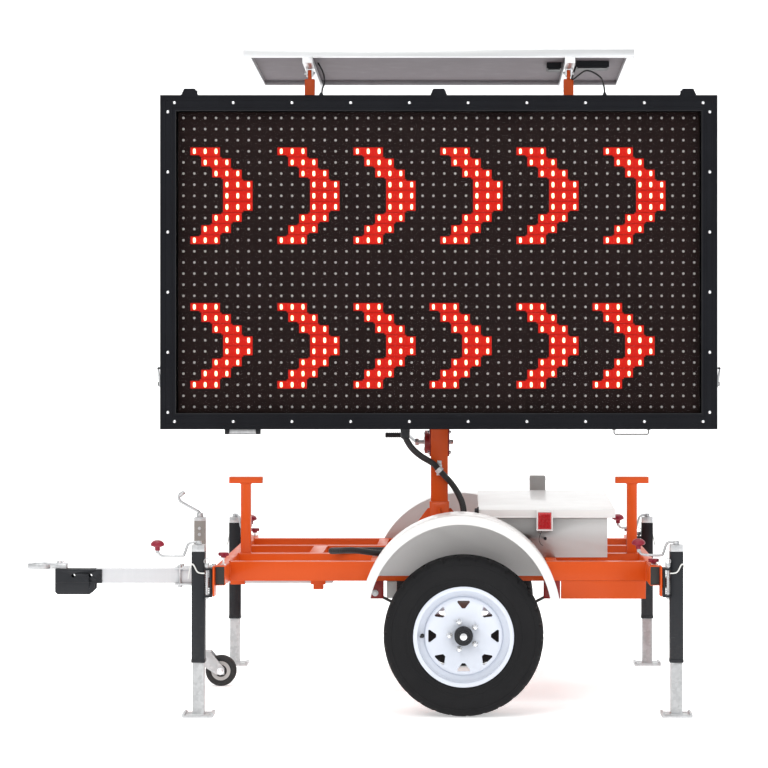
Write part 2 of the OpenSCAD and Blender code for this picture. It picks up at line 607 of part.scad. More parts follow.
module box_lid() color("white") from_axle() {
    translate([box_x - 5, 0, 0]) rotate([90, 0, 90]) linear_extrude(box_l + lid_over + 5) difference() {
        polygon([[-lid_y, box_top + gap], [-lid_y, lid_front], [lid_y, lid_back], [lid_y, box_top + gap]]);
        polygon([[lid_t - lid_y, box_top - 1], [lid_t - lid_y, lid_front - lid_t], [lid_y - lid_t, lid_back - lid_t], [lid_y - lid_t, box_top - 1]]);
    }
    for (x = [box_x - 5, box_x + box_l + lid_over - lid_t]) translate([x, 0, 0]) rotate([90, 0, 90]) linear_extrude(lid_t)
        polygon([[lid_t - lid_y, box_top + gap], [lid_t - lid_y, lid_front - lid_t], [lid_y - lid_t, lid_back - lid_t], [lid_y - lid_t, box_top + gap]]);
    for (x = lid_hinge_x) {
        block([x - 13, lid_y - eps, lid_hinge.y - 4], [x + 13, lid_hinge.x, lid_hinge.y + 4]);
        rod_x([x - 13, lid_hinge.x, lid_hinge.y], 6, 26);
        rod_x([x - 20, lid_hinge.x, lid_hinge.y], lid_pin_r, 40);
    }
}
lamp_x = 322;
lamp_z = 722;
module lamp_housing() color("white") from_axle()
    difference() {
        block([lamp_x - 32.5, -lid_y - 26, lamp_z - 40], [lamp_x + 32.5, -lid_y, lamp_z + 40]);
        block([lamp_x - 26.8, -lid_y - 27, lamp_z - 33.8], [lamp_x + 26.8, -lid_y - 4, lamp_z + 33.8]);
    }
module lamp_lens() color("firebrick") from_axle()
    block([lamp_x - 26.5, -lid_y - 32, lamp_z - 33.5], [lamp_x + 26.5, -lid_y - 4.3, lamp_z + 33.5]);
modem = [68, 50, 236];
modem_out = 31;            // stands clear of the lid as it turns
module modem_box() color("gray") from_axle() translate([lamp_x - modem.x / 2 - 3, box_d / 2, frame_top + 45]) {
    translate([0, modem_out, 0]) cube(modem);
    translate([12, 0, 15]) cube([modem.x - 24, modem_out + eps, 50]);
}

// ======== mast, drawn from its own axis
module at_mast() from_axle() translate([mast_x, 0, 0]) children();
module mast_column() color("orangered") at_mast() {
    tube_z([-mast_w / 2, -mast_w / 2, shoulder_z + 25], [mast_w / 2, mast_w / 2, mast_top], mast_wall);
    block([-mast_w / 2, -mast_w / 2, shoulder_z], [mast_w / 2, mast_w / 2, shoulder_z + 25]);
    translate([0, 0, frame_top + 12]) cylinder(r = spigot_r, h = shoulder_z - frame_top - 12 + eps);
}
winch_z = 1016;
winch_y = 78;
winch_plate = 6;
drum_shaft = 9;
winch_h = [960, 1074];
module winch_frame() color("#8c1f22") at_mast() {
    for (s = [-1, 1]) difference() {
        block([s > 0 ? mast_w / 2 : -mast_w / 2 - winch_plate, -22, winch_h[0]],
            [s > 0 ? mast_w / 2 + winch_plate : -mast_w / 2, winch_y + 38, winch_h[1]]);
        rod_x([-80, winch_y, winch_z], drum_shaft + run, 160);
    }
    difference() {
        rod_x([-mast_w / 2 - winch_plate - 20, winch_y - 6, winch_z], 48, 20 + eps);
        rod_x([-80, winch_y, winch_z], drum_shaft + run, 160);
    }
}
module winch_drum() color("gray") at_mast() difference() {
    union() {
        rod_x([-mast_w / 2 + gap, winch_y, winch_z], 24, mast_w - 2 * gap);
        for (x = [-mast_w / 2 + gap, mast_w / 2 - gap - 4]) rod_x([x, winch_y, winch_z], 36, 4);
    }
    rod_x([-50, winch_y, winch_z], drum_shaft + run, 100);
}
crank_arm = 118;
grip_r = 11;
module winch_crank() color("#22242a") at_mast() {
    rod_x([-100, winch_y, winch_z], drum_shaft, 148);
    swept([[-92, winch_y, winch_z], [-104, winch_y + 20, winch_z + 4], [-128, winch_y + crank_arm - 14, winch_z + 20],
        [-138, winch_y + crank_arm, winch_z + 24], [-160, winch_y + crank_arm, winch_z + 24]], 7, 8);
    rod_x([-230, winch_y + crank_arm, winch_z + 24], grip_r, 90);
}

// ======== lifting head
slide_gap = 0.3;
inner_w = mast_w - 2 * mast_wall - 2 * slide_gap;
inner_low = 1000;
inner_top = 2380;
sign_back = sign_d - sign_front;          // y of the cabinet's back
arm_z = [1905, 2300];
arm_h = 60;
module inner_mast() color("silver") at_mast() {
    tube_z([-inner_w / 2, -inner_w / 2, inner_low], [inner_w / 2, inner_w / 2, inner_top], 4);
    for (z = arm_z) {
        block([-inner_w / 2, sign_back, z], [inner_w / 2, -inner_w / 2, z + arm_h]);
        block([-560, sign_back, z], [-inner_w / 2, sign_back + 30, z + arm_h]);
        block([inner_w / 2, sign_back, z], [560, sign_back + 30, z + arm_h]);
    }
}

sign_top = sign_z + sign_h;
cab_t = 3;
body_front = door_t - sign_front;         // y where the cabinet's body meets the door
hinge_x = [-1005, 0, 1005];
door_hinge = [body_front + 12, sign_top + 13];    // y and z of the door's hinge line
ear_w = 8;
pin_r = 4;
latch_z = 1262;
latch_w = 24;
module sign_cabinet() color("#232529") at_mast() {
    difference() {
        block([-sign_w / 2, body_front + gap, sign_z], [sign_w / 2, sign_back, sign_top]);
        block([cab_t - sign_w / 2, body_front, sign_z + cab_t], [sign_w / 2 - cab_t, sign_back - cab_t, sign_top - cab_t]);
        conduit_hole();
    }
    for (x = hinge_x, s = [-1, 1]) difference() {
        block([x + s * 24 - ear_w / 2, body_front + 4, sign_top], [x + s * 24 + ear_w / 2, body_front + 22, sign_top + 20]);
        rod_x([x - 40, door_hinge.x, door_hinge.y], pin_r + run, 80);
    }
    for (s = [-1, 1], y = [-1, 1]) difference() {
        block([s > 0 ? sign_w / 2 : -sign_w / 2 - 12, latch_y + y * 17 - 4, latch_z - 8],
            [s > 0 ? sign_w / 2 + 12 : -sign_w / 2, latch_y + y * 17 + 4, latch_z + 8]);
        rod_y([s * (sign_w / 2 + 6), latch_y - 30, latch_z], 3 + run, 60);
    }
}
latch_y = body_front + 40;
// hole in the cabinet's floor for the conduit
module conduit_hole() { translate([conduit_out.x - mast_x, conduit_out.y, sign_z - 1]) cylinder(r = hose_r + 0.9, h = cab_t + 2); }

cols = 48;
rows = 27;
pitch_x = 44;
pitch_z = 45;
led_front = body_front + 22;
led_t = 18;
module led_panels() color("#191513") at_mast() {
    mw = cols / 3 * pitch_x;
    mh = rows / 3 * pitch_z;
    for (i = [-1 : 1], k = [-1 : 1])
        translate([i * mw - mw / 2 + gap, led_front, sign_z + sign_h / 2 + k * mh - mh / 2 + gap])
            cube([mw - 2 * gap, led_t, mh - 2 * gap]);
    // two rails behind the modules tie them to the back of the cabinet
    for (i = [-1, 1]) block([i * mw * 0.75 - 20, led_front + led_t, sign_z + 100], [i * mw * 0.75 + 20, sign_back - cab_t, sign_top - 100]);
}

door_w = sign_w - 2;
module door_frame() color("#232529") at_mast() {
    difference() {
        block([-door_w / 2, -sign_front, sign_z + 1], [door_w / 2, body_front, sign_top - 1]);
        block([border - door_w / 2, -sign_front - 1, sign_z + 1 + border], [door_w / 2 - border, body_front + 1, sign_top - 1 - border]);
        // rebate for the window
        block([border - 10 - door_w / 2, 8 - sign_front, sign_z - 9 + border], [door_w / 2 + 10 - border, body_front + 1, sign_top + 9 - border]);
    }
    for (x = hinge_x) {
        translate([x, -sign_front, 0]) rotate([90, 0, 0]) translate([0, 0, -5]) linear_extrude(5)
            polygon([[-34, sign_top - 1 - eps], [34, sign_top - 1 - eps], [22, sign_top + 25], [-22, sign_top + 25]]);
        block([x - 17, 5 - sign_front - eps, sign_top + 6], [x + 17, door_hinge.x, sign_top + 20]);
        rod_x([x - 17, door_hinge.x, door_hinge.y], 7, 34);
        rod_x([x - 28, door_hinge.x, door_hinge.y], pin_r, 56);
    }
}
module door_window() color("#33363a", 0.4) at_mast()
    block([border - 10 - door_w / 2 + gap, 8 - sign_front, sign_z - 9 + border + gap],
        [door_w / 2 + 10 - border - gap, 12 - sign_front, sign_top + 9 - border - gap]);

// Side latch: a pivot pin with its lever, standing off towards +X
module latch() {
    rod_y([6, latch_y - 21, latch_z], 3, 42);
    translate([0, latch_y - latch_w / 2, 0]) rotate([90, 0, 180]) mirror([1, 0, 0])
        linear_extrude(latch_w) polygon([[2, latch_z - 4], [9, latch_z - 4], [latch_out, latch_z + 66], [latch_out - 5, latch_z + 66]]);
}
module latch_right() color("silver") at_mast() translate([sign_w / 2, 0, 0]) latch();
module latch_left() color("silver") at_mast() mirror([1, 0, 0]) translate([sign_w / 2, 0, 0]) latch();

// ======== solar panel: hinge line along X at the top of two posts
post_s = 40;
hinge_y = sign_back + post_s / 2;
tongue_t = 14;
tilt_r = 6;
post_low = 1480;
post_high = panel_z - 26;
module panel_posts() color("orangered") at_mast() for (s = [-1, 1]) translate([s * post_x, hinge_y, 0]) {
    difference() {
        block([-post_s / 2, -post_s / 2, post_low], [post_s / 2, post_s / 2, arm_z[0]]);
        translate([0, 0, -1]) block([3 - post_s / 2, 3 - post_s / 2, post_low], [post_s / 2 - 3, post_s / 2 - 3, arm_z[0] - 8]);
    }
    block([-post_s / 2, -post_s / 2 + 30, arm_z[0]], [post_s / 2, post_s / 2, arm_z[1] + arm_h]);
    block([-post_s / 2, -post_s / 2, arm_z[0] + arm_h], [post_s / 2, -post_s / 2 + 30, arm_z[1]]);
    block([-post_s / 2, -post_s / 2, arm_z[1] + arm_h], [post_s / 2, post_s / 2, post_high]);
    difference() {
        union() {
            block([-tongue_t / 2, -18, post_high - eps], [tongue_t / 2, 18, panel_z]);
            rod_x([-tongue_t / 2, 0, panel_z], 14, tongue_t);
        }
        rod_x([-20, 0, panel_z], tilt_r + run, 40);
    }
}
// Everything on the panel is drawn flat from the hinge line, then sloped about it
module on_panel() at_mast() translate([0, hinge_y, panel_z]) rotate([-panel_slope, 0, 0]) children();
panel_near = -172;         // the panel's near edge, from the hinge line
rail_s = 25;
under = rail_s + 16;       // from the hinge line up to the panel's underside
side_w = 30;
module solar_frame() color("silver") on_panel() {
    difference() {
        block([-panel_l / 2, panel_near, under], [panel_l / 2, panel_near + panel_d, under + panel_t]);
        block([side_w - panel_l / 2, panel_near + side_w, under - 1], [panel_l / 2 - side_w, panel_near + panel_d - side_w, under + panel_t + 1]);
        block([3 - panel_l / 2, panel_near + 3, under + panel_t - 9], [panel_l / 2 - 3, panel_near + panel_d - 3, under + panel_t + 1]);
    }
    for (s = [-1, 1]) translate([s * post_x, 0, 0]) {
        block([-20, panel_near + 5, under - rail_s], [20, panel_near + panel_d - 5, under]);
        for (k = [-1, 1]) difference() {
            block([k > 0 ? tongue_t / 2 + 1 : -tongue_t / 2 - 7, -16, -14], [k > 0 ? tongue_t / 2 + 7 : -tongue_t / 2 - 1, 16, under - rail_s + eps]);
            rod_x([-20, 0, 0], tilt_r + seat, 40);
        }
        rod_x([-22, 0, 0], tilt_r, 44);
    }
}
module solar_glass() color("#1b2340") on_panel()
    block([3.3 - panel_l / 2, panel_near + 3.3, under + panel_t - 8.9], [panel_l / 2 - 3.3, panel_near + panel_d - 3.3, under + panel_t - 3]);

// ======== conduit: one corrugated hose in two lengths that meet at a clip on the mast
hose_r = 13;
conduit_out = [-237, -190, sign_z + 8];
conduit_in = [box_x + 8, -330, 655];
clip = [mast_x, -62, 905];
upper_points = [
    conduit_out, [-237, -190, 1050], [-224, -176, 1020], [-204, -150, 992], [-176, -110, 966], [-150, -76, 948],
    [-124, -62, 931], clip];
lower_points = [
    [-99, -62, 904], [-76, -62, 879], [-52, -62, 853], [-24, -80, 812], [-4, -112, 766], [0, -148, 712], [-16, -182, 660],
    [-66, -208, 628], [-150, -214, 640], [-260, -214, 641], [-380, -214, 628], [-470, -226, 634], [-520, -256, 630],
    [-532, -300, 610], [-500, -344, 594], [-440, -362, 589], [-345, -362, 589], [-230, -356, 590], [-130, -346, 596],
    [-50, -332, 620], [-14, -330, 640], [20, -330, 655], conduit_in];
module conduit_upper() color("#1a1b1d") from_axle() swept(smooth_path(upper_points, 1), hose_r, 10);
module conduit_lower() color("#1a1b1d") from_axle() swept(smooth_path(lower_points, 2), hose_r, 10);

side_rails();
inner_beams();
end_beams();
cross_members();
sign_rests();
mast_socket();
fenders();
axle();
leaf_springs();
spring_hangers();
battery_box();
batteries();
modem_box();
drawbar();
coupling();
tow_ring();
jockey_clamp();
jockey_tube();
jack_mounts();
conduit_lower();
box_lid();
lamp_housing();
lamp_lens();
tyre_near();
rim_near();
hub_near();
tyre_far();
rim_far();
hub_far();
jack_tube_front_near();
jack_leg_front_near();
jack_crank_front_near();
jack_tube_front_far();
jack_leg_front_far();
jack_crank_front_far();
jack_tube_rear_near();
jack_leg_rear_near();
jack_crank_rear_near();
jack_tube_rear_far();
jack_leg_rear_far();
jack_crank_rear_far();
jockey_leg();
jockey_crank();
jockey_fork();
jockey_wheel();
mast_column();
winch_frame();
winch_drum();
winch_crank();
inner_mast();
sign_cabinet();
led_panels();
panel_posts();
conduit_upper();
door_frame();
door_window();
latch_left();
latch_right();
solar_frame();
solar_glass();
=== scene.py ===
"""Finishes, small hardware, lights and camera for a towed message-board trailer.

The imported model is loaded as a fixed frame. Every piece made here takes its
place from that frame, in metres, and rides on one of its bodies. +X is the
rear of the trailer, -Y the side that the sign faces and +Z is up.
"""

from __future__ import annotations

import json
import logging
import math
from dataclasses import dataclass, field
from enum import Enum
from typing import Callable, Iterable, Sequence

import bmesh
import bpy
from mathutils import Matrix, Vector

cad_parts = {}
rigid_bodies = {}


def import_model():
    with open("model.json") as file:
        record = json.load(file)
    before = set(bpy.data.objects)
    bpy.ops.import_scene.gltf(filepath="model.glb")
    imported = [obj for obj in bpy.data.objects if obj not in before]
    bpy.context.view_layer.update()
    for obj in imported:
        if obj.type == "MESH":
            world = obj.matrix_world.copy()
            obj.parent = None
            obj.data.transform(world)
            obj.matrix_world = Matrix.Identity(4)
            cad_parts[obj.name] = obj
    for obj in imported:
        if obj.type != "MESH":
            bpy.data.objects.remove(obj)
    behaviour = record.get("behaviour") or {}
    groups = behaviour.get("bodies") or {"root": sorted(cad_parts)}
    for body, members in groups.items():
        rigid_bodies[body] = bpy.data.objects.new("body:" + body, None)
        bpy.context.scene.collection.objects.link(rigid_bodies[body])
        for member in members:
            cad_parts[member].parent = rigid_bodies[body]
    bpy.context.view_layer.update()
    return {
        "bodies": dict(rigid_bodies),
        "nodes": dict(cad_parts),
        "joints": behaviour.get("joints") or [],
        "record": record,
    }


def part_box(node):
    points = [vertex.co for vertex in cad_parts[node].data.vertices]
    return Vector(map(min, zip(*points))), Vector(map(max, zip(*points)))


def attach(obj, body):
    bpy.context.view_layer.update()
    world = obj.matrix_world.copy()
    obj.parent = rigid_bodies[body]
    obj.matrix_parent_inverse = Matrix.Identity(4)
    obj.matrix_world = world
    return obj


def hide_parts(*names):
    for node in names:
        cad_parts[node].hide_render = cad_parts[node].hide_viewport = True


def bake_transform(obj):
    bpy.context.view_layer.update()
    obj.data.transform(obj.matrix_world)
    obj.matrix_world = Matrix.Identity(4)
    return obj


LOG = logging.getLogger("trailer")
SMOOTH_ANGLE = math.radians(32)
Point = Sequence[float]
Colour = tuple[float, float, float]
X, Y, Z = Vector((1, 0, 0)), Vector((0, 1, 0)), Vector((0, 0, 1))


class Side(Enum):
    """Side of the trailer, as the sign of y."""

    NEAR = -1
    FAR = 1


class End(Enum):
    """End of the trailer, as the sign of x."""

    FRONT = -1
    REAR = 1


class Surface(Enum):
    """Ways in which a finish breaks up its surface."""

    PAINT = "paint"
    ZINC = "zinc"
    BRUSHED = "brushed"
    MOULDED = "moulded"
    TREADED = "treaded"
    CELLS = "cells"
    GLOW = "glow"


# ---------------------------------------------------------------- node groups


def socket(group: bpy.types.NodeTree, name: str, kind: str, out: bool = False, value: float | None = None) -> None:
    """Adds one named socket to a node group.

    Args:
        group: The group's node tree.
        name: The socket's name.
        kind: Its type, such as Float, Color or Vector.
        out: True for an output, False for an input.
        value: Starting value of a Float input.
    """
    made = group.interface.new_socket(
        name=name, in_out="OUTPUT" if out else "INPUT", socket_type="NodeSocket" + kind
    )
    if value is not None:
        made.default_value = value


def new_group(
    name: str, inputs: dict[str, float], outputs: Iterable[str]
) -> tuple[bpy.types.NodeTree, bpy.types.Node, bpy.types.Node]:
    """Starts a shader node group whose inputs and outputs are all floats.

    Args:
        name: The group's name.
        inputs: Input names with their starting values.
        outputs: Output names.

    Returns:
        The node tree, its input node and its output node.
    """
    tree = bpy.data.node_groups.new(name, "ShaderNodeTree")
    for key, value in inputs.items():
        socket(tree, key, "Float", value=value)
    for key in outputs:
        socket(tree, key, "Float", out=True)
    return tree, tree.nodes.new("NodeGroupInput"), tree.nodes.new("NodeGroupOutput")


def math_node(
    tree: bpy.types.NodeTree, kind: str, a: object, b: object = 0.0, clamp: bool = False
) -> bpy.types.NodeSocket:
    """Adds a math node and feeds its two inputs.

    Args:
        tree: The tree that the node goes into.
        kind: The operation, such as MULTIPLY.
        a: First input, a number or a socket.
        b: Second input, a number or a socket.
        clamp: True to keep the result from 0 to 1.

    Returns:
        The node's output socket.
    """
    node = tree.nodes.new("ShaderNodeMath")
    node.operation, node.use_clamp = kind, clamp
    for slot_index, value in enumerate((a, b)):
        if isinstance(value, (int, float)):
            node.inputs[slot_index].default_value = value
        else:
            tree.links.new(value, node.inputs[slot_index])
    return node.outputs[0]


def object_place(tree: bpy.types.NodeTree, stretch: Point = (1, 1, 1)) -> bpy.types.NodeSocket:
    """Object coordinates, stretched along the axes, as a socket.

    Args:
        tree: The tree that the nodes go into.
        stretch: Scale along X, Y and Z.

    Returns:
        The vector socket.
    """
    place = tree.nodes.new("ShaderNodeTexCoord")
    mapping = tree.nodes.new("ShaderNodeMapping")
    mapping.inputs["Scale"].default_value = stretch
    tree.links.new(place.outputs["Object"], mapping.inputs["Vector"])
    return mapping.outputs["Vector"]


def noise(
    tree: bpy.types.NodeTree, vector: bpy.types.NodeSocket, scale: object, detail: float = 4.0,
    rough: float = 0.55
) -> bpy.types.NodeSocket:
    """Adds a noise texture.

    Args:
        tree: The tree that the node goes into.
        vector: Where it is read.
        scale: Its scale, a number or a socket.
        detail: Number of octaves.
        rough: Strength of each finer octave.

    Returns:
        The noise's factor socket.
    """
    node = tree.nodes.new("ShaderNodeTexNoise")
    node.inputs["Detail"].default_value = detail
    node.inputs["Roughness"].default_value = rough
    tree.links.new(vector, node.inputs["Vector"])
    if isinstance(scale, (int, float)):
        node.inputs["Scale"].default_value = scale
    else:
        tree.links.new(scale, node.inputs["Scale"])
    return node.outputs["Fac"]


def ramp(tree: bpy.types.NodeTree, value: bpy.types.NodeSocket, low: float, high: float) -> bpy.types.NodeSocket:
    """Stretches a value so that low gives 0 and high gives 1, with a soft shoulder.

    Args:
        tree: The tree that the node goes into.
        value: The value.
        low: Where the result is 0.
        high: Where the result is 1.

    Returns:
        The stretched value's socket.
    """
    node = tree.nodes.new("ShaderNodeMapRange")
    node.interpolation_type = "SMOOTHSTEP"
    node.inputs["From Min"].default_value = low
    node.inputs["From Max"].default_value = high
    tree.links.new(value, node.inputs["Value"])
    return node.outputs["Result"]


class Effects:
    """Surface effects shared by the finishes, one node group each."""

    def __init__(self) -> None:
        """Builds every group once."""
        self.dust = self.build_dust()
        self.mottle = self.build_mottle()
        self.peel = self.build_peel()
        self.scratches = self.build_scratches()

    def build_dust(self) -> bpy.types.NodeTree:
        """Dust that settles on upward faces and splashes near the ground.

        Returns:
            A group with inputs Top, Splash and Height, and output Mask.
        """
        tree, given, result = new_group("road_dust", {"Top": 0.3, "Splash": 0.4, "Height": 0.45}, ["Mask"])
        place = object_place(tree)
        facing = tree.nodes.new("ShaderNodeNewGeometry")
        up = tree.nodes.new("ShaderNodeSeparateXYZ")
        tree.links.new(facing.outputs["Normal"], up.inputs[0])
        where = tree.nodes.new("ShaderNodeSeparateXYZ")
        tree.links.new(place, where.inputs[0])
        patch = ramp(tree, noise(tree, place, 9.0, 6.0, 0.65), 0.38, 0.72)
        fine = ramp(tree, noise(tree, place, 120.0, 3.0), 0.3, 0.75)
        top = math_node(tree, "MULTIPLY", ramp(tree, up.outputs["Z"], 0.55, 0.95), patch)
        top = math_node(tree, "MULTIPLY", top, given.outputs["Top"])
        depth = math_node(tree, "DIVIDE", where.outputs["Z"], given.outputs["Height"])
        low = math_node(tree, "SUBTRACT", 1.0, depth, clamp=True)
        low = math_node(tree, "MULTIPLY", low, fine)
        low = math_node(tree, "MULTIPLY", low, given.outputs["Splash"])
        mask = math_node(tree, "ADD", top, low, clamp=True)
        tree.links.new(mask, result.inputs["Mask"])
        return tree

    def build_mottle(self) -> bpy.types.NodeTree:
        """Slow variation of tone, and water stains that run down.

        Returns:
            A group with inputs Scale and Streaks, and output Mask.
        """
        tree, given, result = new_group("tone_mottle", {"Scale": 6.0, "Streaks": 0.3}, ["Mask"])
        cloud = noise(tree, object_place(tree), given.outputs["Scale"], 5.0, 0.6)
        streak = ramp(tree, noise(tree, object_place(tree, (22, 22, 1.1)), 3.0, 5.0, 0.6), 0.5, 0.8)
        streak = math_node(tree, "MULTIPLY", streak, given.outputs["Streaks"])
        tree.links.new(math_node(tree, "ADD", cloud, streak, clamp=True), result.inputs["Mask"])
        return tree

    def build_peel(self) -> bpy.types.NodeTree:
        """Fine unevenness of a sprayed, dipped or moulded skin.

        Returns:
            A group with input Scale and output Height.
        """
        tree, given, result = new_group("skin_grain", {"Scale": 300.0}, ["Height"])
        place = object_place(tree)
        wide = noise(tree, place, 14.0, 2.0)
        fine = noise(tree, place, given.outputs["Scale"], 2.0)
        fine = math_node(tree, "MULTIPLY", fine, 0.35)
        tree.links.new(math_node(tree, "ADD", wide, fine), result.inputs["Height"])
        return tree

    def build_scratches(self) -> bpy.types.NodeTree:
        """Thin handling scratches and small chips.

        Returns:
            A group with inputs Scale and Amount, and output Mask.
        """
        tree, given, result = new_group("handling_scratches", {"Scale": 1.0, "Amount": 0.5}, ["Mask"])
        along = math_node(tree, "MULTIPLY", given.outputs["Scale"], 60.0)
        line = noise(tree, object_place(tree, (0.3, 4.0, 6.0)), along, 2.0, 0.4)
        line = ramp(tree, line, 0.7, 0.76)
        chip = ramp(tree, noise(tree, object_place(tree), 210.0, 3.0, 0.5), 0.73, 0.78)
        mask = math_node(tree, "MAXIMUM", line, chip)
        patch = ramp(tree, noise(tree, object_place(tree), 5.0, 2.0), 0.48, 0.66)
        mask = math_node(tree, "MULTIPLY", mask, patch)
        mask = math_node(tree, "MULTIPLY", mask, given.outputs["Amount"], clamp=True)
        tree.links.new(mask, result.inputs["Mask"])
        return tree


# ---------------------------------------------------------------- finishes

DUST_COLOUR = (0.42, 0.36, 0.29, 1.0)


@dataclass(frozen=True)
class Finish:
    """One finish, with the record's slot that it belongs to."""

    name: str
    slot: str
    colour: Colour
    second: Colour
    surface: Surface = Surface.PAINT
    roughness: float = 0.35
    rough_spread: float = 0.12
    metallic: float = 0.0
    coat: float = 0.0
    bump: float = 0.06
    grain: float = 300.0
    mottle: float = 6.0
    streaks: float = 0.25
    dust_top: float = 0.25
    dust_low: float = 0.35
    scratches: float = 0.35
    scratch_colour: Colour = (0.5, 0.5, 0.5)
    alpha: float = 1.0
    specular: float = 0.5
    glow: float = 0.0
    glow_colour: Colour = (1.0, 1.0, 1.0)

    def material(self, effects: Effects) -> bpy.types.Material:
        """Builds the finish as a node material.

        Args:
            effects: The shared node groups.

        Returns:
            The material.
        """
        made = bpy.data.materials.new(self.name)
        made.use_nodes = True
        tree = made.node_tree
        shader = tree.nodes["Principled BSDF"]
        shader.inputs["Metallic"].default_value = self.metallic
        shader.inputs["Coat Weight"].default_value = self.coat
        shader.inputs["Coat Roughness"].default_value = 0.06
        shader.inputs["Alpha"].default_value = self.alpha
        shader.inputs["Specular IOR Level"].default_value = self.specular
        if self.glow:
            shader.inputs["Emission Color"].default_value = (*self.glow_colour, 1)
            shader.inputs["Emission Strength"].default_value = self.glow
        tone, height = self.tone_and_height(tree, effects)
        worn = self.group(tree, effects.scratches, Amount=self.scratches)
        tone = self.mixed(tree, worn.outputs["Mask"], tone, (*self.scratch_colour, 1))
        dust = self.group(tree, effects.dust, Top=self.dust_top, Splash=self.dust_low)
        tone = self.mixed(tree, dust.outputs["Mask"], tone, DUST_COLOUR)
        tree.links.new(tone, shader.inputs["Base Color"])
        spread = tree.nodes.new("ShaderNodeMapRange")
        spread.inputs["To Min"].default_value = self.roughness - self.rough_spread
        spread.inputs["To Max"].default_value = self.roughness + self.rough_spread
        tree.links.new(height, spread.inputs["Value"])
        dusty = math_node(tree, "MULTIPLY", dust.outputs["Mask"], 0.5)
        tree.links.new(
            math_node(tree, "ADD", spread.outputs["Result"], dusty, clamp=True), shader.inputs["Roughness"]
        )
        bump = tree.nodes.new("ShaderNodeBump")
        bump.inputs["Strength"].default_value = self.bump
        bump.inputs["Distance"].default_value = 0.002
        tree.links.new(height, bump.inputs["Height"])
        tree.links.new(bump.outputs["Normal"], shader.inputs["Normal"])
        return made

    def tone_and_height(
        self, tree: bpy.types.NodeTree, effects: Effects
    ) -> tuple[bpy.types.NodeSocket, bpy.types.NodeSocket]:
        """Base colour and surface height for this kind of surface.

        Args:
            tree: The material's node tree.
            effects: The shared node groups.

        Returns:
            The colour socket and the height socket.
        """
        peel = self.group(tree, effects.peel, Scale=self.grain).outputs["Height"]
        mask = self.group(tree, effects.mottle, Scale=self.mottle, Streaks=self.streaks).outputs["Mask"]
        if self.surface is Surface.ZINC:
            spangle = tree.nodes.new("ShaderNodeTexVoronoi")
            spangle.inputs["Scale"].default_value = self.grain
            tree.links.new(object_place(tree), spangle.inputs["Vector"])
            flake = math_node(tree, "FRACT", math_node(tree, "MULTIPLY", spangle.outputs["Color"], 3.7))
            mask = math_node(
                tree, "ADD", math_node(tree, "MULTIPLY", flake, 0.5), math_node(tree, "MULTIPLY", mask, 0.5)
            )
            peel = math_node(tree, "ADD", peel, math_node(tree, "MULTIPLY", flake, 0.3))
        elif self.surface is Surface.BRUSHED:
            lines = noise(tree, object_place(tree, (1.0, 90.0, 90.0)), 14.0, 4.0, 0.7)
            mask = math_node(
                tree, "ADD", math_node(tree, "MULTIPLY", lines, 0.6), math_node(tree, "MULTIPLY", mask, 0.4)
            )
            peel = math_node(
                tree, "ADD", math_node(tree, "MULTIPLY", lines, 0.8), math_node(tree, "MULTIPLY", peel, 0.2)
            )
        elif self.surface is Surface.CELLS:
            mask, peel = self.cell_grid(tree), peel
        elif self.surface is Surface.MOULDED:
            pebble = noise(tree, object_place(tree), self.grain * 2.2, 1.0)
            peel = math_node(tree, "ADD", peel, math_node(tree, "MULTIPLY", pebble, 0.6))
        return self.mixed(tree, mask, (*self.colour, 1), (*self.second, 1)), peel

    def cell_grid(self, tree: bpy.types.NodeTree) -> bpy.types.NodeSocket:
        """Square cells with bus bars between thin pale lines.

        Args:
            tree: The material's node tree.

        Returns:
            A mask that is 1 on the lines.
        """
        parts = tree.nodes.new("ShaderNodeSeparateXYZ")
        tree.links.new(object_place(tree, (1 / 0.1265, 1 / 0.126, 1)), parts.inputs[0])
        lines: list[bpy.types.NodeSocket] = []
        for axis, count, width in (("X", 1, 0.012), ("Y", 1, 0.012), ("X", 5, 0.03)):
            cell = math_node(tree, "FRACT", math_node(tree, "MULTIPLY", parts.outputs[axis], count))
            near = math_node(tree, "ABSOLUTE", math_node(tree, "SUBTRACT", cell, 0.5))
            lines.append(math_node(tree, "GREATER_THAN", near, 0.5 - width))
        both = math_node(tree, "MAXIMUM", lines[0], lines[1])
        bars = math_node(tree, "MULTIPLY", lines[2], 0.45)
        return math_node(tree, "MAXIMUM", both, bars)

    @staticmethod
    def group(tree: bpy.types.NodeTree, effect: bpy.types.NodeTree, **values: float) -> bpy.types.Node:
        """Places a shared effect in a material.

        Args:
            tree: The material's node tree.
            effect: The node group.
            **values: Values of its inputs, by name.

        Returns:
            The group node.
        """
        node = tree.nodes.new("ShaderNodeGroup")
        node.node_tree = effect
        for key, value in values.items():
            node.inputs[key].default_value = value
        return node

    @staticmethod
    def mixed(tree: bpy.types.NodeTree, mask: bpy.types.NodeSocket, a: object, b: object) -> bpy.types.NodeSocket:
        """Mixes two colours by a mask.

        Args:
            tree: The material's node tree.
            mask: 0 gives a, 1 gives b.
            a: A colour, or a socket.
            b: A colour, or a socket.

        Returns:
            The mixed colour's socket.
        """
        node = tree.nodes.new("ShaderNodeMix")
        node.data_type = "RGBA"
        tree.links.new(mask, node.inputs["Factor"])
        for key, value in (("A", a), ("B", b)):
            target = next(s for s in node.inputs if s.name == key and s.type == "RGBA")
            if isinstance(value, tuple):
                target.default_value = value
            else:
                tree.links.new(value, target)
        return next(s for s in node.outputs if s.type == "RGBA")


CLEAN = {"dust_top": 0.0, "dust_low": 0.0, "scratches": 0.0}

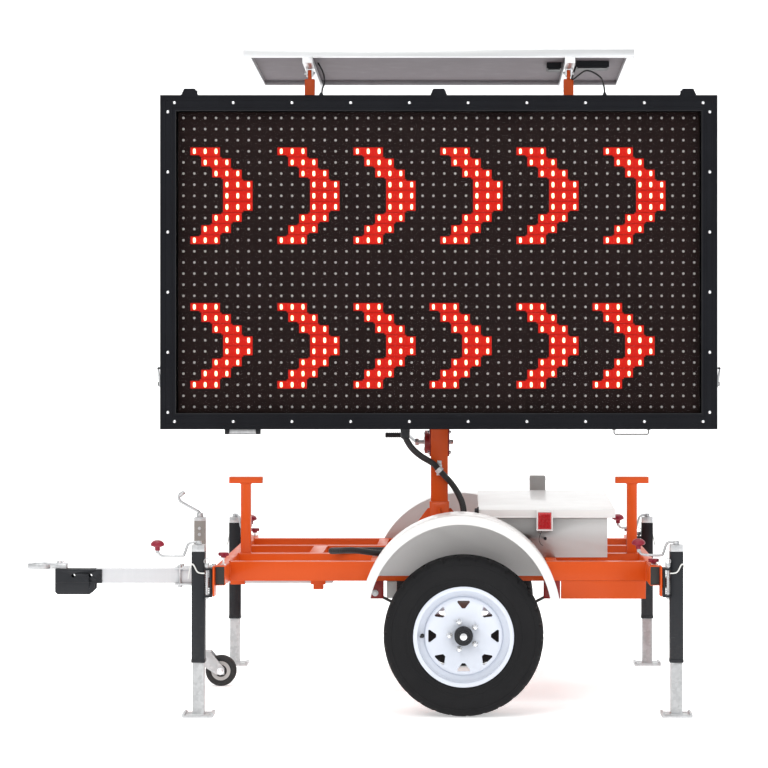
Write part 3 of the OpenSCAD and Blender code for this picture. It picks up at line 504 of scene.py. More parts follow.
ORANGE = Finish(
    "orange_enamel", "frame_paint", (0.56, 0.064, 0.005), (0.63, 0.084, 0.008), roughness=0.36, coat=0.08,
    specular=0.2, dust_top=0.1, dust_low=0.06, scratch_colour=(0.35, 0.10, 0.05)
)
# Painted shade: a darker, redder copy of the orange enamel that stands for orange paint in shade; the spring
# hangers and the winch frame take it.
ORANGE_PAINTED_SHADE = Finish(
    "dark_red_enamel", "red_paint", (0.20, 0.010, 0.009), (0.27, 0.016, 0.014), roughness=0.4, coat=0.15,
    specular=0.3, dust_low=0.05, scratches=0.5
)
CRIMSON = Finish(
    "crimson_knob", "red_lens", (0.20, 0.006, 0.020), (0.27, 0.010, 0.032), Surface.MOULDED, roughness=0.32,
    coat=0.15, specular=0.3, dust_low=0.1, scratches=0.2
)
WHITE = Finish(
    "white_powder_coat", "white_paint", (0.68, 0.67, 0.66), (0.74, 0.73, 0.725), roughness=0.36, coat=0.25,
    streaks=0.1, dust_top=0.06, dust_low=0.05, scratches=0.2, scratch_colour=(0.55, 0.53, 0.5)
)
PALE = Finish(
    "pale_grey_enamel", "pale_paint", (0.52, 0.53, 0.55), (0.62, 0.63, 0.65), roughness=0.4, coat=0.15,
    dust_low=0.06, scratch_colour=(0.3, 0.28, 0.26)
)
WARM_GREY = Finish(
    "warm_grey_enamel", "grey_paint", (0.20, 0.185, 0.17), (0.28, 0.26, 0.24), roughness=0.45,
    scratch_colour=(0.45, 0.43, 0.4)
)
BLACK = Finish(
    "black_powder_coat", "black_paint", (0.008, 0.009, 0.012), (0.015, 0.017, 0.021), roughness=0.42,
    specular=0.3, dust_top=0.08, dust_low=0.04, scratches=0.25, scratch_colour=(0.2, 0.2, 0.2)
)
CABINET = Finish(
    "cabinet_powder_coat", "cabinet_paint", (0.007, 0.007, 0.009), (0.012, 0.013, 0.016), roughness=0.42,
    bump=0.12, grain=520.0, specular=0.06, dust_top=0.1, dust_low=0.0, scratches=0.15,
    scratch_colour=(0.16, 0.16, 0.17)
)
DARK_STEEL = Finish(
    "oiled_steel", "dark_steel", (0.05, 0.05, 0.055), (0.11, 0.10, 0.10), Surface.MOULDED, roughness=0.48,
    metallic=0.7, grain=160.0, dust_low=0.15
)
ZINC = Finish(
    "zinc_plating", "galvanised", (0.42, 0.43, 0.44), (0.62, 0.63, 0.64), Surface.ZINC, roughness=0.38,
    metallic=0.85, grain=95.0, dust_top=0.1, dust_low=0.05, scratch_colour=(0.3, 0.29, 0.27)
)
BRIGHT = Finish(
    "bright_screw", "galvanised", (0.75, 0.76, 0.78), (0.86, 0.87, 0.88), Surface.BRUSHED, roughness=0.25,
    metallic=1.0, dust_low=0.05, scratches=0.1
)
RIM = Finish(
    "wheel_enamel", "rim_paint", (0.62, 0.66, 0.74), (0.68, 0.72, 0.80), roughness=0.3, rough_spread=0.08,
    metallic=0.05, coat=0.4, dust_top=0.05, dust_low=0.05
)
TYRE = Finish(
    "road_tyre", "tyre", (0.008, 0.008, 0.009), (0.015, 0.015, 0.016), Surface.MOULDED, roughness=0.62, bump=0.25,
    grain=240.0, specular=0.15, dust_top=0.0, dust_low=0.0, scratches=0.1, scratch_colour=(0.06, 0.058, 0.055)
)
RUBBER = Finish(
    "solid_rubber", "wheel_rubber", (0.015, 0.016, 0.018), (0.03, 0.03, 0.032), Surface.MOULDED, roughness=0.6,
    bump=0.2, specular=0.3, dust_top=0.05, dust_low=0.05, scratches=0.1
)
BATTERY = Finish(
    "battery_shell", "battery_case", (0.03, 0.032, 0.036), (0.05, 0.052, 0.056), Surface.MOULDED, roughness=0.5,
    bump=0.2
)
GREY_BOX = Finish(
    "grey_enclosure", "grey_plastic", (0.42, 0.41, 0.40), (0.50, 0.49, 0.48), Surface.MOULDED, roughness=0.48,
    dust_low=0.05, bump=0.2
)
HOSE = Finish(
    "corrugated_hose", "conduit_plastic", (0.010, 0.010, 0.011), (0.02, 0.02, 0.021), Surface.MOULDED,
    roughness=0.38, bump=0.1, dust_low=0.1, scratches=0.15
)
MASK = Finish(
    "display_mask", "led_mask", (0.014, 0.0085, 0.008), (0.019, 0.0115, 0.011), Surface.MOULDED, roughness=0.7,
    rough_spread=0.05, specular=0.02, **CLEAN
)
LENS_OFF = Finish(
    "unlit_dot", "led_mask", (0.33, 0.31, 0.30), (0.44, 0.42, 0.41), Surface.MOULDED, roughness=0.3, **CLEAN
)
LENS_ON = Finish(
    "lit_dot", "led_mask", (1.0, 0.75, 0.45), (1.0, 0.80, 0.5), Surface.GLOW, roughness=0.3, **CLEAN, glow=3.0,
    glow_colour=(1.0, 0.62, 0.34)
)
# Painted light: a faint red glow laid on the display round the lit dots, standing for the light they spill.
PAINTED_LED_SPILL = Finish(
    "red_halo", "led_mask", (0.25, 0.005, 0.003), (0.3, 0.008, 0.004), Surface.GLOW, roughness=0.5, specular=0.1,
    **CLEAN, glow=0.4, glow_colour=(1.0, 0.014, 0.003)
)
WINDOW = Finish(
    "tinted_window", "window", (0.03, 0.028, 0.028), (0.035, 0.032, 0.032), roughness=0.1, rough_spread=0.0,
    bump=0.0, **CLEAN, alpha=0.04, specular=0.06
)
ALUMINIUM = Finish(
    "clear_anodised", "aluminium", (0.68, 0.69, 0.70), (0.78, 0.79, 0.80), Surface.BRUSHED, roughness=0.34,
    metallic=0.9, dust_top=0.15, dust_low=0.0, scratches=0.15
)
BACKSHEET = Finish(
    "panel_back_sheet", "aluminium", (0.135, 0.118, 0.130), (0.16, 0.14, 0.155), Surface.MOULDED, roughness=0.5,
    specular=0.2, dust_top=0.0, dust_low=0.0
)
CELLS = Finish(
    "solar_laminate", "solar_cells", (0.006, 0.010, 0.032), (0.32, 0.34, 0.38), Surface.CELLS, roughness=0.12,
    rough_spread=0.05, coat=1.0, bump=0.02, dust_top=0.2, dust_low=0.0, scratches=0.0
)
RED_LENS = Finish(
    "red_reflector", "red_lens", (0.42, 0.006, 0.012), (0.60, 0.012, 0.02), Surface.MOULDED, roughness=0.15,
    rough_spread=0.06, coat=1.0, bump=0.3, grain=420.0, scratches=0.1
)
WIRE = Finish("pale_wire", "galvanised", (0.62, 0.62, 0.6), (0.75, 0.75, 0.73), roughness=0.4, metallic=0.2)
ROPE = Finish(
    "steel_rope", "galvanised", (0.30, 0.30, 0.31), (0.5, 0.5, 0.51), Surface.BRUSHED, roughness=0.4, metallic=0.8
)
# Painted shade: near-black for the shaded hollow inside open tube ends.
PAINTED_TUBE_SHADE = Finish(
    "dark_opening", "black_paint", (0.012, 0.010, 0.009), (0.02, 0.018, 0.016), roughness=0.6, scratches=0.0
)


class Finishes:
    """Builds each finish once and hands it out by name."""

    def __init__(self) -> None:
        """Starts with the shared effects and no materials."""
        self.effects = Effects()
        self.made: dict[str, bpy.types.Material] = {}

    def get(self, finish: Finish) -> bpy.types.Material:
        """The material of a finish, built when first asked for."""
        if finish.name not in self.made:
            self.made[finish.name] = finish.material(self.effects)
        return self.made[finish.name]


# ---------------------------------------------------------------- shapes


def frame_along(direction: Vector) -> tuple[Vector, Vector]:
    """Two unit vectors square to a direction.

    Args:
        direction: The direction.

    Returns:
        Both vectors.
    """
    up = Z if abs(direction.normalized().z) < 0.9 else X
    side = direction.cross(up).normalized()
    return side, direction.normalized().cross(side)


def smooth_path(points: Sequence[Point], steps: int) -> list[Vector]:
    """A curve through the points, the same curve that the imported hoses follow.

    Args:
        points: Points that it passes through.
        steps: Number of pieces between two points.

    Returns:
        Points along the curve.
    """
    knots = [Vector(p) for p in points]
    knots = [2 * knots[0] - knots[1], *knots, 2 * knots[-1] - knots[-2]]
    path: list[Vector] = []
    for index in range(1, len(knots) - 2):
        a, b, c, d = knots[index - 1 : index + 3]
        for step in range(steps):
            t = step / steps
            path.append(
                0.5 * (2 * b + (c - a) * t + (2 * a - 5 * b + 4 * c - d) * t * t + (3 * b - a - 3 * c + d) * t**3)
            )
    return [*path, knots[-2]]


def evenly(path: Sequence[Vector], spacing: float) -> list[Vector]:
    """The same path with points a fixed distance apart.

    Args:
        path: Points along the path.
        spacing: Wanted distance between points.

    Returns:
        The new points, with both ends kept.
    """
    lengths = [0.0]
    for a, b in zip(path, path[1:]):
        lengths.append(lengths[-1] + (b - a).length)
    count = max(2, round(lengths[-1] / spacing))
    found: list[Vector] = []
    index = 0
    for step in range(count + 1):
        target = lengths[-1] * step / count
        while index < len(path) - 2 and lengths[index + 1] < target:
            index += 1
        span = lengths[index + 1] - lengths[index]
        found.append(path[index].lerp(path[index + 1], (target - lengths[index]) / span if span else 0.0))
    return found


class Shape:
    """Collects simple solids into one mesh, then turns it into a piece."""

    def __init__(self) -> None:
        """Starts empty."""
        self.mesh = bmesh.new()

    def block(self, low: Point, high: Point, bevel: float = 0.0) -> Shape:
        """Adds a block between two corners, with rounded edges.

        Args:
            low: Lowest corner.
            high: Highest corner.
            bevel: Radius of the edges.

        Returns:
            This shape.
        """
        a, b = Vector(low), Vector(high)
        matrix = Matrix.Translation((a + b) / 2) @ Matrix.Diagonal((*(b - a), 1))
        made = bmesh.ops.create_cube(self.mesh, size=1.0, matrix=matrix)
        if bevel:
            edges = {e for v in made["verts"] for e in v.link_edges}
            bmesh.ops.bevel(self.mesh, geom=list(edges), offset=bevel, segments=2, profile=0.5, affect="EDGES")
        return self

    def turned(
        self, profile: Sequence[tuple[float, float]], origin: Point, axis: Vector = Z, sides: int = 24,
        start: float = 0.0
    ) -> Shape:
        """Adds a solid of revolution.

        Args:
            profile: Radius and distance along the axis of each ring.
            origin: Where distances along the axis start.
            axis: The axis.
            sides: Number of facets round.
            start: Angle of the first facet, in degrees.

        Returns:
            This shape.
        """
        along = axis.normalized()
        u, v = frame_along(along)
        rings = []
        for radius, distance in profile:
            centre = Vector(origin) + along * distance
            if radius < 1e-6:
                rings.append([self.mesh.verts.new(centre)])
                continue
            angles = [math.radians(start) + 2 * math.pi * k / sides for k in range(sides)]
            rings.append(
                [self.mesh.verts.new(centre + radius * (u * math.cos(a) + v * math.sin(a))) for a in angles]
            )
        self.skin(rings, sides)
        return self

    def skin(self, rings: list[list[bmesh.types.BMVert]], sides: int, caps: bool = True) -> None:
        """Joins rings of points with faces and closes both ends.

        Args:
            rings: Rings in order, each of one point or of sides points.
            sides: Number of points in a full ring.
            caps: True to close both ends.
        """
        for a, b in zip(rings, rings[1:]):
            for k in range(sides):
                n = (k + 1) % sides
                if len(a) == 1 and len(b) > 1:
                    self.mesh.faces.new((a[0], b[n], b[k]))
                elif len(b) == 1 and len(a) > 1:
                    self.mesh.faces.new((a[k], a[n], b[0]))
                elif len(a) > 1:
                    self.mesh.faces.new((a[k], a[n], b[n], b[k]))
        if caps:
            for ring, turn in ((rings[0], -1), (rings[-1], 1)):
                if len(ring) > 1:
                    self.mesh.faces.new(ring[::turn])

    def rod(self, start: Point, end: Point, radius: float, sides: int = 16) -> Shape:
        """Adds a straight bar with small chamfers at its ends."""
        a, b = Vector(start), Vector(end)
        length, edge = (b - a).length, min(radius * 0.2, 0.001)
        profile = [(radius - edge, 0), (radius, edge), (radius, length - edge), (radius - edge, length)]
        return self.turned(profile, a, b - a, sides)

    def swept(
        self, path: Sequence[Vector], radius: float, sides: int = 12, rib: Callable[[int], float] | None = None
    ) -> Shape:
        """Adds a round bar along a path.

        Args:
            path: Points along its middle.
            radius: Its radius.
            sides: Number of facets round.
            rib: Gives a factor on the radius at each point, for ribs.

        Returns:
            This shape.
        """
        rings = []
        side = frame_along(path[1] - path[0])[0]
        for index, point in enumerate(path):
            ahead = path[min(index + 1, len(path) - 1)] - path[max(index - 1, 0)]
            along = ahead.normalized()
            side = (side - along * side.dot(along)).normalized()
            other = along.cross(side)
            size = radius * (rib(index) if rib else 1.0)
            angles = [2 * math.pi * k / sides for k in range(sides)]
            rings.append(
                [self.mesh.verts.new(point + size * (side * math.cos(a) + other * math.sin(a))) for a in angles]
            )
        self.skin(rings, sides)
        return self

    def plate(
        self, outline: Sequence[tuple[float, float]], origin: Point, u: Vector, v: Vector, thickness: float,
        bevel: float = 0.0
    ) -> Shape:
        """Adds a flat plate with any outline.

        Args:
            outline: Corners, measured along u and v.
            origin: Where they are measured from.
            u: First direction of the plate.
            v: Second direction of the plate.
            thickness: Thickness along u cross v.
            bevel: Radius of the edges.

        Returns:
            This shape.
        """
        base, depth = Vector(origin), u.cross(v).normalized() * thickness
        low = [self.mesh.verts.new(base + u * a + v * b) for a, b in outline]
        high = [self.mesh.verts.new(vert.co + depth) for vert in low]
        faces = [self.mesh.faces.new(low[::-1]), self.mesh.faces.new(high)]
        for k in range(len(low)):
            n = (k + 1) % len(low)
            faces.append(self.mesh.faces.new((low[k], low[n], high[n], high[k])))
        if bevel:
            edges = {e for f in faces for e in f.edges}
            bmesh.ops.bevel(self.mesh, geom=list(edges), offset=bevel, segments=2, profile=0.5, affect="EDGES")
        return self

    def square_ring(
        self, axis: Vector, halves: tuple[float, float], heights: tuple[float, float], soft: float
    ) -> Shape:
        """Adds a square collar round a vertical axis, from four blocks.

        Args:
            axis: The collar's axis, at the ground.
            halves: Half the outer width and half the opening.
            heights: z of its lower and upper face.
            soft: Radius of the blocks' edges.

        Returns:
            The shape.
        """
        outer, inner = halves
        for a, b in (
            ((-outer, -outer), (outer, -inner)), ((-outer, inner), (outer, outer)),
            ((-outer, -inner), (-inner, inner)), ((inner, -inner), (outer, inner)),
        ):
            self.block(axis + Vector((*a, heights[0])), axis + Vector((*b, heights[1])), soft)
        return self

    def bolt(self, seat: Point, axis: Vector, across: float, shank: float = 0.0) -> Shape:
        """Adds a hexagon bolt head on a washer, and its shank behind the seat.

        Args:
            seat: Middle of the washer's lower face.
            axis: The way the head points.
            across: Width across the head's corners.
            shank: Length of thread that stands out past the head.

        Returns:
            This shape.
        """
        radius = across / 2
        self.turned([(radius * 1.25, 0), (radius * 1.25, radius * 0.18)], seat, axis, 24)
        head = [(radius, radius * 0.18), (radius, radius * 0.85), (radius * 0.86, radius), (0, radius)]
        self.turned(head, seat, axis, 6)
        if shank:
            self.turned([(radius * 0.5, radius), (radius * 0.5, radius + shank)], seat, axis, 12)
        return self

    def piece(
        self, name: str, material: bpy.types.Material, body: str | None, smooth: float = SMOOTH_ANGLE
    ) -> bpy.types.Object:
        """Turns the shape into a piece of the trailer.

        Args:
            name: The piece's name.
            material: Its finish.
            body: The body that it rides on, or None where it is blended later.
            smooth: Edges sharper than this angle stay sharp.

        Returns:
            The piece.
        """
        bmesh.ops.recalc_face_normals(self.mesh, faces=self.mesh.faces)
        data = bpy.data.meshes.new(name)
        self.mesh.to_mesh(data)
        self.mesh.free()
        data.materials.append(material)
        data.shade_smooth()
        data.set_sharp_from_angle(angle=smooth)
        made = bpy.data.objects.new(name, data)
        bpy.context.scene.collection.objects.link(made)
        if body:
            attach(made, body)
        LOG.info("%s: %d faces", name, len(data.polygons))
        return made


class Workshop:
    """What every sub-assembly needs: the frame, the finishes and a way to make pieces."""

    def __init__(self, frame: dict, finishes: Finishes) -> None:
        """Keeps the frame and the finishes.

        Args:
            finishes: The finishes.
        """
        self.frame = frame
        self.finishes = finishes
        self.axle_x = self.middle("rim_near").x
        self.mast_x = self.middle("mast_column").x

    def middle(self, node: str) -> Vector:
        """Middle of a node's box."""
        low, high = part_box(node)
        return (low + high) / 2

    def low(self, node: str) -> Vector:
        """Lowest corner of a node's box."""
        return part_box(node)[0]

    def high(self, node: str) -> Vector:
        """Highest corner of a node's box."""
        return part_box(node)[1]

    def make(
        self, shape: Shape, name: str, finish: Finish, body: str | None, smooth: float = SMOOTH_ANGLE
    ) -> bpy.types.Object:
        """Turns a shape into a piece with a finish.

        Args:
            shape: The shape.
            name: The piece's name.
            finish: Its finish.
            body: The body that it rides on, or None where it is blended later.
            smooth: Edges sharper than this angle stay sharp.

        Returns:
            The piece.
        """
        return shape.piece(name, self.finishes.get(finish), body, smooth)


# ---------------------------------------------------------------- studio


@dataclass
class Studio:
    """Camera, lights and floor."""

    eye: Point = (0.381, -10.55, 1.432)
    lens: float = 119.5
    sensor: float = 36.0
    shift: tuple[float, float] = (-0.1036, -0.0547)
    floor_half: float = 14.0
    wall_y: float = 7.0
    bend: float = 3.0

    def camera(self) -> None:
        """Places the camera square to the sign's side."""
        data = bpy.data.cameras.new("camera")
        data.lens, data.sensor_width = self.lens, self.sensor
        data.shift_x, data.shift_y = self.shift
        data.clip_end = 60
        bpy.context.scene.view_settings.view_transform = "Standard"
        made = bpy.data.objects.new("camera", data)
        made.location = self.eye
        made.rotation_euler = (math.radians(90), 0, 0)
        bpy.context.scene.collection.objects.link(made)
        bpy.context.scene.camera = made

    def area(self, name: str, place: Point, target: Point, size: float, power: float, colour: Colour) -> None:
        """Adds one soft lamp.

        Args:
            name: Its name.
            place: Where it stands.
            target: What it points at.
            size: Width of its face.
            power: Power in watts.
            colour: Its colour.
        """
        data = bpy.data.lights.new(name, "AREA")
        data.size, data.energy, data.color = size, power, colour
        made = bpy.data.objects.new(name, data)
        made.location = place
        made.rotation_euler = (Vector(target) - Vector(place)).to_track_quat("-Z", "Y").to_euler()
        bpy.context.scene.collection.objects.link(made)

    def lights(self) -> None:
        """Lights the trailer softly from above and from the front."""
        world = bpy.data.worlds.new("studio")
        bpy.context.scene.world = world
        world.use_nodes = True
        world.node_tree.nodes["Background"].inputs["Color"].default_value = (1.0, 1.0, 1.0, 1)
        world.node_tree.nodes["Background"].inputs["Strength"].default_value = 0.72
        self.area("key", (-3.0, -6.5, 6.5), (0.2, 0, 1.0), 4.0, 240, (1.0, 0.99, 0.97))
        self.area("fill", (5.5, -6.0, 3.0), (0.2, 0, 0.8), 4.0, 90, (0.97, 0.98, 1.0))
        self.area("top", (0.2, 1.0, 7.0), (0.2, 0, 0.5), 6.0, 330, (1.0, 1.0, 1.0))

    def floor(self, finishes: Finishes) -> None:
        """Makes the floor, with a backdrop that bends up behind the trailer.

        Args:
            finishes: The finishes, for their shared grain.
        """
        paper = Finish(
            "floor_paper", "white_paint", (0.94, 0.94, 0.94), (0.95, 0.95, 0.95), roughness=0.9,
            rough_spread=0.04, specular=0.0, glow=0.42, **CLEAN, bump=0.02
        )
        outline = [(-self.floor_half, 0.0), (self.wall_y, 0.0)]
        for step in range(1, 13):
            turn = math.radians(90 * step / 12)
            outline.append((self.wall_y + self.bend * math.sin(turn), self.bend * (1 - math.cos(turn))))
        outline.append((self.wall_y + self.bend, self.floor_half))
        mesh = bmesh.new()
        rows = [[mesh.verts.new((x, y, z)) for x in (-self.floor_half, self.floor_half)] for y, z in outline]
        for a, b in zip(rows, rows[1:]):
            mesh.faces.new((a[0], a[1], b[1], b[0]))
        data = bpy.data.meshes.new("floor")
        mesh.to_mesh(data)
        mesh.free()
        data.materials.append(finishes.get(paper))
        data.shade_smooth()
        made = bpy.data.objects.new("floor", data)
        bpy.context.scene.collection.objects.link(made)


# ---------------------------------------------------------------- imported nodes


@dataclass
class PackedFinishes:
    """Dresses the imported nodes: their finish, and the soft edge of pressed or welded steel."""

    shop: Workshop
    weld: float = 0.00002
    plain: dict[str, tuple[Finish, float]] = field(
        default_factory=lambda: {
            "side_rails": (ORANGE, 0.004),
            "inner_beams": (ORANGE, 0.004),
            "end_beams": (ORANGE, 0.004),
            "cross_members": (ORANGE, 0.0025),
            "sign_rests": (ORANGE, 0.0025),
            "mast_socket": (ORANGE, 0.0015),
            "fenders": (WHITE, 0.0007),
            "axle": (DARK_STEEL, 0.003),
            "leaf_springs": (DARK_STEEL, 0.001),
            # The spring hangers take the painted-shade copy of the orange.
            "spring_hangers": (ORANGE_PAINTED_SHADE, 0.001),
            "battery_box": (WHITE, 0.001),
            "batteries": (BATTERY, 0.004),
            "modem_box": (GREY_BOX, 0.004),
            "drawbar": (PALE, 0.0015),
            "coupling": (BLACK, 0.0015),
            "tow_ring": (ZINC, 0.003),
            "jockey_clamp": (ZINC, 0.0012),
            "jockey_tube": (WARM_GREY, 0.0012),
            "jack_mounts": (ORANGE, 0.0012),
            "box_lid": (WHITE, 0.001),
            "lamp_housing": (WHITE, 0.001),
            "rim_near": (RIM, 0.0012),
            "rim_far": (RIM, 0.0012),
            "hub_near": (BLACK, 0.001),
            "hub_far": (BLACK, 0.001),
            "jockey_leg": (ZINC, 0.001),
            "jockey_fork": (ZINC, 0.001),
            "mast_column": (ORANGE, 0.004),
            # The winch frame takes the painted-shade copy of the orange: its dark red is orange paint in shade.
            "winch_frame": (ORANGE_PAINTED_SHADE, 0.0015),
            "winch_drum": (ZINC, 0.001),
            "inner_mast": (ZINC, 0.003),
            "sign_cabinet": (CABINET, 0.0012),
            "led_panels": (MASK, 0.0006),
            "panel_posts": (ORANGE, 0.003),
            "door_frame": (CABINET, 0.001),
            "door_window": (WINDOW, 0.0),
            "latch_left": (ZINC, 0.0008),
            "latch_right": (ZINC, 0.0008),
            "solar_frame": (ALUMINIUM, 0.0008),
            "solar_glass": (CELLS, 0.0004),
        }
    )

    def dress(self) -> None:
        """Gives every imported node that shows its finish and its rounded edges."""
        table = dict(self.plain)
        for end in End:
            for side in Side:
                corner = f"{end.name}_{side.name}".lower()
                table[f"jack_tube_{corner}"] = (BLACK, 0.0015)
                table[f"jack_leg_{corner}"] = (ZINC, 0.0012)
        for node, (finish, edge) in table.items():
            self.dress_one(self.shop.frame["nodes"][node], finish, edge)

    def dress_one(self, node: bpy.types.Object, finish: Finish, edge: float) -> None:
        """Dresses one node.

        Args:
            node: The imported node's object.
            finish: Its finish.
            edge: Radius of its edges, or 0 to leave them sharp.
        """
        node.data.materials.clear()
        node.data.materials.append(self.shop.finishes.get(finish))
        node.data.shade_smooth()
        joined = node.modifiers.new("joined", "WELD")
        joined.merge_threshold = self.weld
        if edge:
            rounded = node.modifiers.new("rounded", "BEVEL")
            rounded.width, rounded.segments = edge, 2
            rounded.limit_method, rounded.angle_limit = "ANGLE", math.radians(40)
            rounded.harden_normals = True
            rounded.use_clamp_overlap = True
        LOG.info("%s: %s", node.name, finish.name)


# ---------------------------------------------------------------- hoses


@dataclass
class Hoses:
    """The corrugated hose between the battery box and the sign, in its two lengths."""

    shop: Workshop
    radius: float = 0.013
    rib_pitch: float = 0.0042
    sides: int = 18
    sign_end: Point = (-0.237, -0.190, 1.087)
    box_end: Point = (0.073, -0.330, 0.655)
    clip: Point = (-0.100, -0.062, 0.905)
    upper: tuple[Point, ...] = (
        (-0.237, -0.190, 1.050), (-0.224, -0.176, 1.020), (-0.204, -0.150, 0.992),
        (-0.176, -0.110, 0.966), (-0.150, -0.076, 0.948), (-0.124, -0.062, 0.931),
    )
    lower: tuple[Point, ...] = (
        (-0.099, -0.062, 0.904), (-0.076, -0.062, 0.879), (-0.052, -0.062, 0.853),
        (-0.024, -0.080, 0.812), (-0.004, -0.112, 0.766), (0.000, -0.148, 0.712),
        (-0.016, -0.182, 0.660), (-0.066, -0.206, 0.616), (-0.150, -0.214, 0.591),
        (-0.260, -0.214, 0.5882), (-0.380, -0.214, 0.5882), (-0.470, -0.226, 0.5882),
        (-0.520, -0.256, 0.590), (-0.530, -0.300, 0.592), (-0.500, -0.344, 0.596),
        (-0.440, -0.362, 0.600), (-0.345, -0.362, 0.589), (-0.230, -0.356, 0.590),
        (-0.130, -0.346, 0.596), (-0.050, -0.332, 0.620), (-0.014, -0.330, 0.640),
        (0.020, -0.330, 0.655),
    )

    def from_axle(self, points: Iterable[Point]) -> list[Vector]:
        """Moves points that are measured from the axle into the frame."""
        return [Vector(p) + X * self.shop.axle_x for p in points]

    def hose(self, name: str, points: Sequence[Point], steps: int) -> tuple[bpy.types.Object, list[Vector]]:
        """Makes one ribbed length of hose.

        Args:
            name: The piece's name.
            points: Points that it passes through, from the axle.
            steps: Number of pieces between two points.

        Returns:
            The piece and the points along its middle.
        """
        path = evenly(smooth_path(self.from_axle(points), steps), self.rib_pitch / 4)
        ribs = (1.0, 0.96, 0.875, 0.96)
        shape = Shape().swept(path, self.radius, self.sides, lambda k: ribs[k % 4])
        return self.shop.make(shape, name, HOSE, None, math.radians(80)), path

    def build(self) -> None:
        top, top_path = self.hose("hose_to_sign", (self.sign_end, *self.upper, self.clip), 8)
        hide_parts("conduit_upper")
        low, low_path = self.hose("hose_to_box", (*self.lower, self.box_end), 8)
        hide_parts("conduit_lower")
        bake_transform(top)
        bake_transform(low)
        self.fittings()

    def fittings(self) -> None:
        """Makes the clip on the mast and the glands where the hose enters the sign and the box."""
        clip, shop = self.from_axle([self.clip])[0], self.shop
        face = -0.035
        band = Shape().block(
            (clip.x - 0.011, clip.y + 0.004, clip.z - 0.022), (clip.x + 0.011, face + 0.0005, clip.z + 0.022),
            0.001
        )
        band.turned(
            [(0.0133, -0.009), (0.0162, -0.009), (0.0162, 0.009), (0.0133, 0.009)], clip, Vector((0.7, 0, -0.72)),
            24
        )
        band.bolt((clip.x, face - 0.002, clip.z + 0.028), -Y, 0.010)
        band.block(
            (clip.x - 0.009, face - 0.003, clip.z + 0.018), (clip.x + 0.009, face + 0.0005, clip.z + 0.038), 0.001
        )
        shop.make(band, "hose_clip", ZINC, "mast")
        sign = self.from_axle([self.sign_end])[0]
        floor = shop.low("sign_cabinet").z
        gland = Shape().turned(
            [(0.0135, -0.040), (0.017, -0.036), (0.019, -0.018), (0.019, -0.014)], (sign.x, sign.y, floor), Z, 24
        )
        gland.turned(
            [(0.021, -0.014), (0.022, -0.012), (0.022, 0.0005), (0.0145, 0.0005)], (sign.x, sign.y, floor), Z, 6
        )
        shop.make(gland, "sign_gland", BLACK, "head")
        box = self.from_axle([self.box_end])[0]
        wall = shop.low("battery_box").x
        gland = Shape().turned(
            [(0.0135, -0.036), (0.017, -0.033), (0.019, -0.016), (0.019, -0.012)], (wall, box.y, box.z), X, 24
        )
        gland.turned(
            [(0.021, -0.012), (0.022, -0.010), (0.022, 0.0005), (0.0145, 0.0005)], (wall, box.y, box.z), X, 6
        )
        shop.make(gland, "box_gland", BLACK, "chassis")


# ---------------------------------------------------------------- sign


